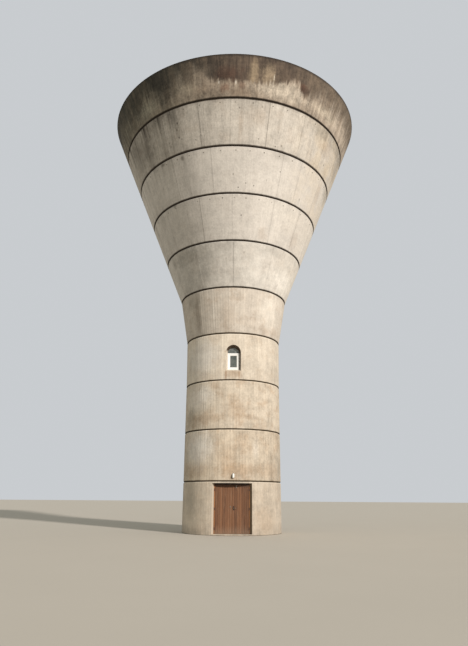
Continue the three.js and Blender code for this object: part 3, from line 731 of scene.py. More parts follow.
def parapet_concrete():
    """The same concrete under lichen and soot: streaked dark above, washed pale below."""
    made, tree = new_material("cast_concrete_parapet_lichened")
    foot, head = joint_z[PARAPET - 1], joint_z[PARAPET]
    wall = add(tree, "Group", {"node_tree": round_wall, "Radius": mid_radius(PARAPET), "Seed": 10.0})
    face = concrete_face(tree, PARAPET, {
        **CONE, "Cloud": 0.12, "Mottle": 0.21, "Speck": 0.18, "Streak": 0.11, "Layers": 0.08,
        "Runs": 0.3, "Soot": 0.35, "Wash": 0.0, "Board Tone": 0.03, "Damp": 0.2, "Flank": -0.1,
        "Arris": 0.0})
    drip, wide, streak, blot = (
        add(tree, "TexNoise", (wall, f"{place} Place"), scale, 6.0, 0.68)
        for place, scale in (("Streak", 9.0), ("Cloud", 3.0), ("Streak", 4.5), ("Cloud", 1.6)))
    share = add(tree, "MapRange", (wall, "Level"), foot, head)
    dark = parapet_border(tree, wall, share, drip, add(tree, "Math ADD", wide, streak))
    # Painted light: the side toward the light takes a lighter copy of both the dark top and the pale
    # lower half.
    painted_lit_side = toward(tree, wall, 75, 0.55, 1.0)
    streaky = add(tree, "MapRange SMOOTHSTEP", streak, 0.38, 0.64)
    top = add(tree, "Mix RGBA", painted_lit_side, linear("4d4138"), linear("6b5f51"))
    top = layered(tree, top, (toward(tree, wall, -62, 0.45, 0.9), 1, "3a372e"),
                  (streaky, 0.5, "7d6d5c"))
    low = add(tree, "Mix RGBA", painted_lit_side, linear("a69786"), linear("bcae9d"))
    low = layered(tree, low, (streaky, 0.45, "756554"), ((blot, 0.4, 0.62), 0.2, "6f6355"))
    colour = add(tree, "Mix RGBA", dark, stained(tree, low, PARAPET, LOW_STAINS),
                 stained(tree, top, PARAPET, TOP_STAINS))
    colour = stained(tree, colour, PARAPET, PALE_RUNS)
    # The rim is black with moss along its edge.
    rim = add(tree, "Math MULTIPLY_ADD", wide, 0.12, (wall, "Level"))
    colour = layered(tree, colour, ((rim, head - 0.06, head + 0.02), 0.6, "2f2a24"))
    colour = laid_dirt_and_shade(tree, PARAPET, face, colour)
    # Algae grow on the side that stays damp, and turn its brown to olive.
    olive = toward(tree, wall, SHADED_SIDE, 0.35, 0.95)
    colour = add(tree, "Mix RGBA", olive, colour, linear("f7ffff"), blend_type="MULTIPLY")
    return finish(made, colour, 0.93, (0.7, 0.008, (face, "Height")))


lift_material[PARAPET] = parapet_concrete()
print("border drawn with", len(BORDER), "points")


# %% Concrete that the weather doesn't reach, and the roof's screed
def sheltered_concrete():
    """The inside of the walls and the slabs: the same mix, clean, evenly grey, with pour clouds."""
    made, tree = new_material("cast_concrete_inside")
    place = (add(tree, "TexCoord"), "Object")
    cloud = add(tree, "TexNoise", place, 1.3, 5.0)
    colour = layered(tree, linear("8f887c"), ((cloud, 0.3, 0.7), 1, "a39b8d"))
    return finish(made, colour, 0.92, (0.4, 0.003, add(tree, "TexNoise", place, 60.0, 3.0)))


def parapet_inside():
    """The parapet's inner face: dark and streaked all round, greener at its foot, which stays damp."""
    made, tree = new_material("cast_concrete_parapet_inside")
    wall = add(tree, "Group", {"node_tree": round_wall, "Radius": joint_r[PARAPET], "Seed": 17.0})
    streak = add(tree, "TexNoise", (wall, "Streak Place"), 4.5, 6.0)
    blot = add(tree, "TexNoise", (wall, "Cloud Place"), 2.2, 6.0)
    damp = add(tree, "Math MULTIPLY_ADD", blot, 1.2, (wall, "Level"))
    greener = (damp, joint_z[PARAPET], joint_z[PARAPET] - 1.4)
    colour = layered(tree, linear("5d5145"), ((streak, 0.35, 0.65), 1, "8a7c6b"),
                     ((blot, 0.4, 0.6), 0.5, "4f463c"), (greener, 0.6, "6c6a55"))
    grit = add(tree, "TexNoise", (wall, "Cloud Place"), 45.0, 3.0)
    return finish(made, colour, 0.93, (0.6, 0.006, grit))


def roof_screed():
    """Trowelled screed laid to a fall: puddle rings, lichen discs and grit."""
    made, tree = new_material("cement_screed_trowelled")
    place = (add(tree, "TexCoord"), "Object")
    cloud = add(tree, "TexNoise", place, 0.6, 6.0, 0.65)
    discs = where(tree, (add(tree, "TexVoronoi", place, 3.0), 0.2, 0.1), (cloud, 0.5, 0.62, 0.0, 0.5))
    colour = layered(tree, linear("6b655a"), ((cloud, 0.35, 0.65), 1, "8d8676"), (discs, 1, "a6a38c"))
    return finish(made, colour, 0.9, (0.5, 0.004, add(tree, "TexNoise", place, 45.0, 3.0)))


def reveal_with_painted_shade(name, clean, shade_colour):
    """Concrete round an opening: clean, with painted shade overhead and on the side away from the
    light.
    """
    made, tree = new_material(name)
    place = (add(tree, "TexCoord"), "Object")
    facing = add(tree, "SeparateXYZ", (add(tree, "NewGeometry"), "Normal"))
    patch = add(tree, "TexNoise", place, 9.0, 5.0, 0.6)
    # Painted shade: the soffit and the reveal that faces away from the light are darkened.
    painted_shade = add(tree, "Math MAXIMUM", ((facing, "Z"), -0.1, -0.5), ((facing, "X"), -0.2, -0.7))
    painted_shade = add(tree, "Math MULTIPLY", painted_shade, (patch, 0.25, 0.55, 0.82, 1.0))
    colour = layered(tree, linear(clean), ((patch, 0.4, 0.7), 0.3, TAN), (painted_shade, 1, shade_colour))
    return finish(made, colour, 0.93, (0.6, 0.004, add(tree, "TexNoise", place, 55.0, 3.0)))


inside, screed, rained_inside = sheltered_concrete(), roof_screed(), parapet_inside()
door_reveal = reveal_with_painted_shade("cast_concrete_door_reveal", "b9ad9c", "7d6d59")
window_reveal = reveal_with_painted_shade("cast_concrete_window_reveal", "cabfae", "453627")
print("reveals", door_reveal.name, window_reveal.name)

# %% [markdown]
# ## The ten lifts, with the doorway and the window cut through
# Each lift is grown from its section, and the doorway and the window opening are then cut out with a
# Boolean, which gives the reveals their true slant through the thick wall. Modelling the hole's edge by
# hand on a curved, boarded wall would take far longer and fit less well.

# %% Cutters for the doorway and the window
DOOR_SPLAY, WINDOW_SPLAY = 0.62, 0.5  # widening of the reveals for each metre of depth
OUTSIDE, WITHIN = -2.3, -1.4  # planes in front of the wall and behind it
ARCH_STEPS = 24
CLEARANCE = 0.0003  # round a frame in its opening

door_frame_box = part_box("door_frame")
door_half = door_frame_box[1].x + CLEARANCE
door_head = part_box("lift_01_lintel")[0].z
casement_lo, casement_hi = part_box("window_frame")
window_x = (casement_lo.x + casement_hi.x) / 2
window_half = casement_hi.x - window_x + CLEARANCE
window_sill, window_spring = casement_lo.z - CLEARANCE, casement_hi.z + CLEARANCE


def turns(steps, span=math.pi):
    """Even angles from nothing to a span, both ends counted."""
    return [span * i / steps for i in range(steps + 1)]


def skin(work, loops, closed=False):
    """Joins matching loops of points into one solid, or a closed round of them into a frame."""
    rows = [[work.verts.new(p) for p in loop] for loop in loops]
    count = len(rows[0])
    for low, high in zip(rows, rows[1:] + (rows[:1] if closed else [])):
        for i in range(count):
            work.faces.new((low[i], low[(i + 1) % count], high[(i + 1) % count], high[i]))
    if not closed:
        work.faces.new(list(reversed(rows[0])))
        work.faces.new(rows[-1])


def doorway_loop(z):
    face = door_frame_box[0].y
    wide = door_half + (face - OUTSIDE) * DOOR_SPLAY
    return [(-door_half, WITHIN, z), (-door_half, face, z), (-wide, OUTSIDE, z),
            (wide, OUTSIDE, z), (door_half, face, z), (door_half, WITHIN, z)]


def arch_loop(half, drop, y):
    """The window's outline at one depth, its half width and how far its sill drops."""
    arc = [(window_x + half * math.cos(a), y, window_spring + half * math.sin(a))
           for a in turns(ARCH_STEPS)]
    return arc + [(window_x - half, y, window_sill - drop), (window_x + half, y, window_sill - drop)]


def mesh_from(name, work, material):
    """Turns a finished bmesh into a mesh of one material."""
    mesh = bpy.data.meshes.new(name)
    work.to_mesh(mesh)
    work.free()
    mesh.materials.append(material)
    return mesh


def cutter_from(name, loops, material):
    """A closed cutter. Its material is what its cut leaves on the reveals."""
    work = bmesh.new()
    skin(work, loops)
    bmesh.ops.recalc_face_normals(work, faces=work.faces)
    return new_piece(name, mesh_from(name, work, material))


def pierce(piece, cutter):
    """Cuts one solid out of a piece for good."""
    hole = piece.modifiers.new("hole", "BOOLEAN")
    hole.operation, hole.solver, hole.object = "DIFFERENCE", "EXACT", cutter
    hole.material_mode = "TRANSFER"
    mesh = evaluated(piece)
    piece.modifiers.clear()
    piece.data = tidy_mesh(mesh)
    bpy.data.objects.remove(cutter)


spread = (casement_lo.y - OUTSIDE) * WINDOW_SPLAY
cutters = {
    1: cutter_from("doorway", [doorway_loop(-0.1), doorway_loop(door_head)], door_reveal),
    4: cutter_from("window_opening", [
        arch_loop(window_half + spread, spread, OUTSIDE), arch_loop(window_half, 0.0, casement_lo.y),
        arch_loop(window_half, 0.0, WITHIN)], window_reveal),
}
print("doorway half", round(door_half, 3), "window half", round(window_half, 3))

# %% Grow the ten lifts
RELIEF = 0.0015  # how far the boards differ
CONE_COLUMNS = 180

for lift in LIFTS:
    section = sections[lift]
    foot_z, head_z = min(section), max(section)
    points = [(section[z][1], 1.0, z) for z in section]
    points += [(section[head_z][0], -1.0, head_z), (section[foot_z][0], -1.0, foot_z)]
    on_shaft = lift <= SHAFT_LIFTS
    name = "parapet_wall" if lift == PARAPET else f"lift_{lift:02d}_wall"
    wall = grown(name, cast_ring, points, {
        "Boards": boards_round(lift)[0] if on_shaft else CONE_COLUMNS, "Rows": len(points),
        "Relief": RELIEF if on_shaft else 0.0, "Fin": FIN_WIDTH, "Seed": lift,
        "Outer Material": lift_material[lift],
        "Inner Material": rained_inside if lift == PARAPET else inside})
    if lift in cutters:
        pierce(wall, cutters[lift])
    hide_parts(*cad_names(lift))
    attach(wall, "tower")
    print(wall.name, len(wall.data.polygons), "faces")

# %% [markdown]
# ## Panel seams and tie holes on the cone
# The cone was shuttered with wide panels. Where two panels met, a fin of grout squeezed out and dirt
# gathers on it, and near the head of each lift a row of tie bolts held the shutter, whose holes were
# plugged with darker mortar. Both are instances: a tree puts one strip or one plug at each point of a
# short list and turns it round the axis. Both are closed solids, and a strip is rooted in the wall. An
# attribute says how dirty each point of the mesh is, and the wall's own material reads it, so a
# strip's edges melt into the wall.

# %% Geometry Nodes: marks set round a cone
STRIP = 5  # columns across a seam's strip
FLUSH = 0.0004  # how far the strip's edges stand proud of the wall


def seam_tree():
    tree, given = geometry_tree("panel_seams", {
        "Vector": "Foot, Head", "Float": "Half Width, Crest, Root", "Material": "Material"})
    grid = add(tree, "MeshGrid", {"Vertices X": STRIP, "Vertices Y": 2})
    index = add(tree, "InputIndex")
    column = add(tree, "Math FLOOR", add(tree, "Math MULTIPLY_ADD", index, 0.5, NUDGE))
    row = add(tree, "Math MODULO", index, 2.0)
    # Columns crowd to the middle, as the cube of their number, and the crest falls off from there.
    step = add(tree, "Math SUBTRACT", column, STRIP // 2)
    cube = add(tree, "Math MULTIPLY", step, add(tree, "Math MULTIPLY", step, step))
    aside = add(tree, "Math DIVIDE", (given, "Half Width"), float((STRIP // 2) ** 3))
    aside = add(tree, "Math MULTIPLY", cube, aside)
    middle = add(tree, "Math MULTIPLY_ADD", add(tree, "Math ABSOLUTE", step), -0.5, 1.0)
    proud = add(tree, "Math MULTIPLY_ADD", middle, (given, "Crest"), FLUSH)
    along = add(tree, "Mix VECTOR", row, (given, "Foot"), (given, "Head"))
    off = add(tree, "CombineXYZ", aside, add(tree, "Math MULTIPLY", proud, -1.0))
    place = add(tree, "VectorMath ADD", along, off)
    strip = add(tree, "SetPosition", {"Geometry": grid, "Position": place})
    strip = add(tree, "StoreNamedAttribute", {"Geometry": strip, "Name": "middle", "Value": middle})
    # A copy pushed into the wall, with the sides between, makes the strip a closed solid.
    root = add(tree, "CombineXYZ", {"Y": (given, "Root")})
    body = add(tree, "ExtrudeMesh", {"Mesh": strip, "Offset": root, "Individual": False})
    solid = fill(tree, add(tree, "JoinGeometry", strip), {"Geometry": body})
    solid = add(tree, "MergeByDistance", {"Geometry": solid, "Distance": WELD})
    return marks_round(tree, given, solid, None)


def tie_tree():
    tree, given = geometry_tree("tie_plugs", {
        "Vector": "Foot, Head", "Float": "Plug Radius, Dome, Tilt", "Material": "Material"})
    plug = add(tree, "MeshCone", {
        "Vertices": 12, "Radius Top": add(tree, "Math MULTIPLY", (given, "Plug Radius"), 0.6),
        "Radius Bottom": (given, "Plug Radius"), "Depth": (given, "Dome")})
    height = add(tree, "SeparateXYZ", add(tree, "InputPosition"))
    middle = add(tree, "Math DIVIDE", (height, "Z"), (given, "Dome"))
    plug = add(tree, "StoreNamedAttribute", {
        "Geometry": (plug, "Mesh"), "Name": "middle", "Value": middle})
    return marks_round(tree, given, plug, (given, "Tilt"))


def marks_round(tree, given, mark, tilt):
    """Sets a mark at each point of the list: azimuth in X, dirt in Y, share of the height in Z."""
    entry = add(tree, "SeparateXYZ", add(tree, "InputPosition"))
    turn = {"Z": (entry, "X")}
    if tilt:
        along = add(tree, "Mix VECTOR", (entry, "Z"), (given, "Foot"), (given, "Head"))
        place = add(tree, "VectorRotate Z_AXIS", {"Vector": along, "Angle": (entry, "X")})
        turn["X"] = tilt
    else:
        place = add(tree, "CombineXYZ")  # all on the axis: the turn alone places a strip
    turn = add(tree, "CombineXYZ", turn)
    listed = add(tree, "MeshToPoints", {"Mesh": (given, "Geometry"), "Radius": 0.01})
    listed = add(tree, "StoreNamedAttribute", {
        "Geometry": listed, "Name": "strength", "Value": (entry, "Y")})
    listed = add(tree, "StoreNamedAttribute FLOAT_VECTOR", {
        "Geometry": listed, "Name": "turn", "Value": turn})
    moved = add(tree, "SetPosition", {"Geometry": listed, "Position": place})
    turned = add(tree, "InputNamedAttribute FLOAT_VECTOR", {"Name": "turn"})
    turned = add(tree, "EulerToRotation", turned)
    marks = add(tree, "InstanceOnPoints", {"Points": moved, "Instance": mark, "Rotation": turned})
    marks = add(tree, "RealizeInstances", marks)
    strength, middle = (add(tree, "InputNamedAttribute", {"Name": name})
                        for name in ("strength", "middle"))
    dirt = add(tree, "Math MULTIPLY", strength, middle)
    marks = add(tree, "StoreNamedAttribute", {"Geometry": marks, "Name": "seam_dirt", "Value": dirt})
    marks = add(tree, "SetMaterial", {"Geometry": marks, "Material": (given, "Material")})
    add(tree, "GroupOutput", marks)
    return tree


panel_seams, tie_plugs = seam_tree(), tie_tree()
print("trees", panel_seams.name, len(panel_seams.nodes), tie_plugs.name, len(tie_plugs.nodes))

# %% Where the seams and ties are
SEAM_HALF, SEAM_CREST, SEAM_ROOT = 0.05, 0.003, 0.01
TIE_RADIUS, TIE_DOME = 0.036, 0.004
TIE_SHARE, TIE_STEP = 0.93, 8.6  # height in the lift, and degrees from one to the next
SEAMS = {  # azimuth in degrees and dirt of the seams that show, and the pitch of the rest
    6: ({0: 0.45, 34: 0.2}, 34),
    7: ({-53: 0.45, -23: 0.65, -1: 0.15, 27.3: 0.3, 50.7: 0.35}, 25.6),
    8: ({-36.5: 0.45, -12.7: 0.4, 7: 0.1, 28: 0.35, 41: 0.3}, 21),
    9: ({-37.6: 0.75, -17.4: 0.75, -2: 0.25, 16.5: 0.75, 36: 0.3}, 18.4),
}
TIES = {  # azimuth in degrees and share of the height, for the ones that stand out of the row
    7: ((5, 0.55), (-43, 0.95)),
    8: ((2.5, 0.12), (7, 0.22), (12, 0.18), (27.5, 0.6)),
    9: ((-45.6, 0.1), (-35.5, 0.22), (-28, 0.3), (-20.3, 0.2), (-17.3, 0.28), (12.4, 0.17), (22, 0.08)),
}

luck = random.Random(11)
for lift, (seen, step) in SEAMS.items():
    first, last = min(seen), max(seen)
    rest = int((360 - last + first) / step)
    gap = (360 - last + first) / (rest + 1)
    around = {**seen, **{last + gap * (i + 1): luck.uniform(0.15, 0.45) for i in range(rest)}}
    points = [(math.radians(a), dirt, 0.0) for a, dirt in around.items()]
    (foot_z, (_, foot_r)), *_, (head_z, (_, head_r)), _ = sections[lift].items()
    common = {"Foot": (0.0, -foot_r, foot_z), "Head": (0.0, -head_r, head_z),
              "Material": lift_material[lift]}
    made = [grown(f"lift_{lift:02d}_panel_seams", panel_seams, points, {
        **common, "Half Width": SEAM_HALF, "Crest": SEAM_CREST, "Root": SEAM_ROOT})]
    if lift in TIES:
        row = [(math.radians(a * TIE_STEP + luck.uniform(-1, 1)), luck.uniform(0.4, 0.85), TIE_SHARE)
               for a in range(round(360 / TIE_STEP))]
        row += [(math.radians(a), 0.7, share) for a, share in TIES[lift]]
        lean = math.atan2(head_r - foot_r, head_z - foot_z)
        made.append(grown(f"lift_{lift:02d}_tie_plugs", tie_plugs, row, {
            **common, "Plug Radius": TIE_RADIUS, "Dome": TIE_DOME, "Tilt": math.pi / 2 + lean}))
    for piece in made:
        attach(piece, "tower")
        print(piece.name, len(piece.data.polygons), "faces")

# %% [markdown]
# ## Small parts made by hand
# Frames, plates and handles are built from loops of points. Two matching loops are joined with a band
# of faces, and a row of loops makes a moulding, a folded sheet or a dome. It is quicker than carving a
# box, and every corner gets the small rounding that catches the light on a real one.

# %% Helpers for small parts
def rectangle(lo, hi, inset, at, level=False):
    """A rectangle between two corners, drawn in by an inset: upright at a depth, or flat at a level."""
    up = 1 if level else 2
    flat = [(lo[0] + inset, lo[up] + inset), (hi[0] - inset, lo[up] + inset),
            (hi[0] - inset, hi[up] - inset), (lo[0] + inset, hi[up] - inset)]
    return [(a, b, at) if level else (a, at, b) for a, b in flat]


def block(work, lo, hi, ease):
    """A solid between two corners with its edges eased."""
    made = bmesh.ops.create_cube(work, size=1.0)["verts"]
    for vertex in made:
        vertex.co = [lo[i] if vertex.co[i] < 0 else hi[i] for i in range(3)]
    edges = list({edge for vertex in made for edge in vertex.link_edges})
    bmesh.ops.bevel(work, geom=edges + made, offset=ease, segments=2, profile=0.5, affect="EDGES")


def tube(work, path, radius, sides=12):
    """A round bar along a path of points, closed at both ends."""
    points = [Vector(p) for p in path]
    loops = []
    for i, point in enumerate(points):
        run = (points[min(i + 1, len(points) - 1)] - points[max(i - 1, 0)]).normalized()
        aside = Vector((0.0, 0.0, 1.0)) if abs(run.z) < 0.9 else Vector((1.0, 0.0, 0.0))
        across = run.cross(aside).normalized()
        up = run.cross(across)
        loops.append([point + (across * math.cos(a) + up * math.sin(a)) * radius
                      for a in (math.tau * k / sides for k in range(sides))])
    skin(work, loops)


def settle(piece, body, nodes=()):
    if nodes:
        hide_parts(*nodes)
    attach(piece, body)
    print(piece.name, len(piece.data.polygons), "faces")


def piece_from(name, work, body, material, nodes=()):
    """Turns a finished bmesh into a piece that rides on a body and may stand for CAD nodes."""
    settle(new_piece(name, tidy_mesh(mesh_from(name, work, material))), body, nodes)


def repaint(name, material):
    """Gives a node that shows as it is its material."""
    node = frame["nodes"][name]
    node.data.materials.clear()
    node.data.materials.append(material)
    print(name, "shows as it is, in", material.name)


# %% [markdown]
# ## Timber for the doorway
# The doors and their frame are softwood, planed and brushed with a red-brown stain that has worn thin
# in patches. Up close the eye sees long grain, boards of slightly different red, a foot bleached by
# splashes, and a top darkened with painted shade and some soot. The grain is noise drawn out about
# seventeen times along the board, so each piece has its grain on its own long axis.

# %% Stained softwood
def drawn_out(axis, across, along):
    """The scale of a pattern that is drawn out along one axis."""
    return [along if i == axis else across for i in range(3)]


def stained_softwood(name, long_axis, light, dark):
    """Softwood under a worn brown stain: low gloss, long grain, boards of differing tone."""
    made, tree = new_material(name)
    place = (add(tree, "TexCoord"), "Object")
    grain = add(tree, "Mapping", {"Vector": place, "Scale": drawn_out(long_axis, 28.0, 1.6)})
    grain = add(tree, "TexNoise", {"Vector": grain, "Scale": 1.0, "Detail": 5.0, "Roughness": 0.65,
                                   "Distortion": 0.4})
    board = (add(tree, "Attribute", {"attribute_name": "board_tone"}), "Fac")
    # The stain has gone thin in long patches, which stop at the edge of a board.
    apart = add(tree, "CombineXYZ", add(tree, "Math MULTIPLY", board, 9.0))
    apart = add(tree, "VectorMath ADD", place, apart)
    apart = add(tree, "Mapping", {"Vector": apart, "Scale": drawn_out(long_axis, 9.0, 1.5)})
    worn = add(tree, "TexNoise", apart, 1.0, 5.0)
    mixed = add(tree, "Math MULTIPLY_ADD", board, 0.34, add(tree, "Math MULTIPLY", grain, 1.2))
    # Splashes have bleached the foot, and the top is darkened under the lintel: painted shade, with
    # some soot.
    height = (add(tree, "SeparateXYZ", place), "Z")
    soot_and_painted_shade = add(tree, "Math MULTIPLY_ADD", worn, 0.1, height)
    colour = layered(tree, linear(dark), ((mixed, 0.3, 1.1), 1, light),
                     ((worn, 0.55, 0.72), 0.3, "94765c"), ((height, 0.45, 0.05), 0.35, "8f7a66"),
                     ((soot_and_painted_shade, 1.84, 1.94), 0.6, "2a1c13"))
    return finish(made, colour, (grain, 0.3, 0.7, 0.62, 0.8), (0.5, 0.0015, grain))


door_timber = stained_softwood("softwood_boards_stained", 2, "7f573a", "4e301b")
post_timber = stained_softwood("softwood_posts_stained", 2, "b47c4c", "774e30")
rail_timber = stained_softwood("softwood_rails_stained", 0, "6f4a32", "452b1b")
# The head is stained nearly black as painted shade: it stands in the shadow of the lintel.
head_timber_painted_shade = stained_softwood("softwood_head_painted_shade", 0, "35241a", "1f150f")
print("timber", door_timber.name, post_timber.name, rail_timber.name, head_timber_painted_shade.name)

# %% [markdown]
# ## The door frame
# Two posts and a head, 50 mm by 95 mm, butt-jointed, with a planted stop behind the leaves. Separate
# eased members show their joints, where one moulded ring would look like plastic.

# %% The door frame
POST = 0.05
STOP_REACH, STOP_FACE = 0.015, -1.8  # how far the stop passes the post, and the plane it starts at
EASE = 0.003

(fx0, fy0, fz0), (fx1, fy1, fz1) = door_frame_box
left, right, under = fx0 + POST, fx1 - POST, fz1 - POST  # the inner edges of the members
work = bmesh.new()
for x0, x1 in ((fx0, left), (right, fx1)):
    block(work, (x0, fy0, fz0), (x1, fy1, fz1), EASE)
for x0, x1 in ((left, left + STOP_REACH), (right - STOP_REACH, right)):
    block(work, (x0, STOP_FACE, fz0), (x1, fy1, under), EASE)
piece_from("door_frame_posts", work, "tower", post_timber, ["door_frame"])
work = bmesh.new()
block(work, (left, fy0, under), (right, fy1, fz1), EASE)
block(work, (left + STOP_REACH, STOP_FACE, under - STOP_REACH), (right - STOP_REACH, fy1, under), EASE)
piece_from("door_frame_head", work, "tower", head_timber_painted_shade)

# %% [markdown]
# ## Boarded leaves
# Each leaf is seven upright boards with rounded arrises, nailed to three ledges behind. The boards
# follow a rule, one after another at an even pitch, so a Geometry Nodes tree sets them out: it fills a
# rounded outline, raises it to the leaf's height and repeats it. A board is a little proud or shy of
# the next and has its own tone, stored as an attribute for the material.

# %% Geometry Nodes: a rounded plate, and boards in a row
def rounded_plate(tree, across, deep, high, corner):
    """A plate from a rounded outline in plan, raised to a height."""
    outline = add(tree, "CurvePrimitiveQuadrilateral", {"Width": across, "Height": deep})
    outline = add(tree, "FilletCurve POLY", {"Curve": outline, "Count": 3, "Radius": corner,
                                             "Limit Radius": True})
    foot = add(tree, "FillCurve NGONS", {"Curve": outline})
    rise = add(tree, "CombineXYZ", {"Z": high})
    raised = add(tree, "ExtrudeMesh FACES", {"Mesh": foot, "Offset": rise, "Individual": False})
    return fill(tree, add(tree, "JoinGeometry", raised), {"Geometry": foot})


def boarded_leaf_tree():
    tree, given = geometry_tree("boarded_leaf", {
        "Vector": "Corner", "Float": "Width, Height, Thickness, Gap, Ease", "Int": "Boards, Seed",
        "Material": "Material"})
    pitch = add(tree, "Math DIVIDE", (given, "Width"), (given, "Boards"))
    board = rounded_plate(tree, add(tree, "Math SUBTRACT", pitch, (given, "Gap")), (given, "Thickness"),
                          (given, "Height"), (given, "Ease"))
    half = add(tree, "CombineXYZ", add(tree, "Math MULTIPLY", pitch, 0.5),
               add(tree, "Math MULTIPLY", (given, "Thickness"), 0.5))
    start = add(tree, "VectorMath ADD", (given, "Corner"), half)
    step = add(tree, "CombineXYZ", pitch)
    row = add(tree, "MeshLine", {"Count": (given, "Boards"), "Start Location": start, "Offset": step})
    shy = add(tree, "RandomValue", {"Min": 0.0, "Max": 0.0012, "Seed": (given, "Seed")})
    row = add(tree, "SetPosition", {"Geometry": row, "Offset": add(tree, "CombineXYZ", {"Y": shy})})
    tone = add(tree, "Math ADD", (given, "Seed"), 5.0)
    tone = add(tree, "RandomValue", {"Min": 0.0, "Max": 1.0, "Seed": tone})
    row = add(tree, "StoreNamedAttribute", {"Geometry": row, "Name": "board_tone", "Value": tone})
    boards = add(tree, "InstanceOnPoints", {"Points": row, "Instance": board})
    boards = add(tree, "RealizeInstances", boards)
    boards = add(tree, "SetMaterial", {"Geometry": boards, "Material": (given, "Material")})
    add(tree, "GroupOutput", boards)
    return tree


boarded_leaf = boarded_leaf_tree()
print("tree", boarded_leaf.name, "has", len(boarded_leaf.nodes), "nodes")

# %% The two leaves
BOARDS, BOARD_THICK, BOARD_GAP, BOARD_EASE = 7, 0.022, 0.002, 0.006
LEDGE_LEVELS = (0.18, 0.93, 1.68)
LEDGE_HIGH, LEDGE_THICK, LEDGE_INSET = 0.14, 0.0205, 0.02

for side, seed in (("left", 3), ("right", 8)):
    lo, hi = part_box(f"door_leaf_{side}")
    boards = grown(f"door_boards_{side}", boarded_leaf, [(0, 0, 0)], {
        "Corner": tuple(lo), "Boards": BOARDS, "Width": hi.x - lo.x, "Height": hi.z - lo.z,
        "Thickness": BOARD_THICK, "Gap": BOARD_GAP, "Ease": BOARD_EASE, "Seed": seed,
        "Material": door_timber})
    settle(boards, f"{side}_leaf", [f"door_leaf_{side}"])
    work = bmesh.new()
    for level in LEDGE_LEVELS:
        block(work, (lo.x + LEDGE_INSET, hi.y - LEDGE_THICK, level),
              (hi.x - LEDGE_INSET, hi.y, level + LEDGE_HIGH), EASE)
    piece_from(f"door_ledges_{side}", work, f"{side}_leaf", rail_timber)

# %% [markdown]
# ## Ironwork
# Three face hinges a leaf, a lock plate with its lever and a small bolt on the right leaf, and the
# lock's keeper on the left. The hinges and the lock plate were brushed over with the door's brown, and
# rust comes through it. The lever, the keeper and the bolt are zinc-plated steel, gone dull.

# %% Iron and zinc
def rusted_steel(name, paint, rusty):
    """Mild steel brushed with brown paint: nearly matt, with rust where the paint has gone."""
    made, tree = new_material(name)
    patch = add(tree, "TexNoise", (add(tree, "TexCoord"), "Object"), 45.0, 6.0, 0.65)
    rust = add(tree, "MapRange SMOOTHSTEP", patch, 0.48, 0.62)
    colour = layered(tree, linear(paint), (rust, 1, rusty))
    return finish(made, colour, (rust, 0.0, 1.0, 0.5, 0.88), (0.4, 0.0006, patch))


def dull_zinc(name, spangle, low, high, bloom):
    """Zinc on steel, weathered: a soft metal grey, crystals of differing shine and a pale bloom."""
    made, tree = new_material(name)
    place = (add(tree, "TexCoord"), "Object")
    crystal = add(tree, "TexVoronoi", place, 1 / spangle)
    tone = add(tree, "SeparateColor", (crystal, "Color"))
    cloud = add(tree, "TexNoise", place, 0.15 / spangle, 5.0)
    white = add(tree, "Math MULTIPLY", (cloud, 0.5, 0.7), 0.5)
    colour = layered(tree, linear(low), (tone, 1, high), (white, 1, bloom))
    rough = add(tree, "Math MULTIPLY_ADD", tone, 0.12, (white, 0.0, 0.5, 0.4, 0.62))
    return finish(made, colour, rough, Metallic=0.85)


hinge_steel = rusted_steel("mild_steel_hinge_painted_brown", "60432f", "6d432b")
plate_steel = rusted_steel("mild_steel_plate_painted_brown", "3a2a20", "5a3624")
lock_zinc = dull_zinc("steel_zinc_plated_dull", 0.004, "7d776c", "978f82", "a49c8f")
sheet_zinc = dull_zinc("sheet_steel_hot_dip_galvanised", 0.02, "8f9190", "a9aba9", "c2c3bf")
print("metals", hinge_steel.name, plate_steel.name, lock_zinc.name, sheet_zinc.name)


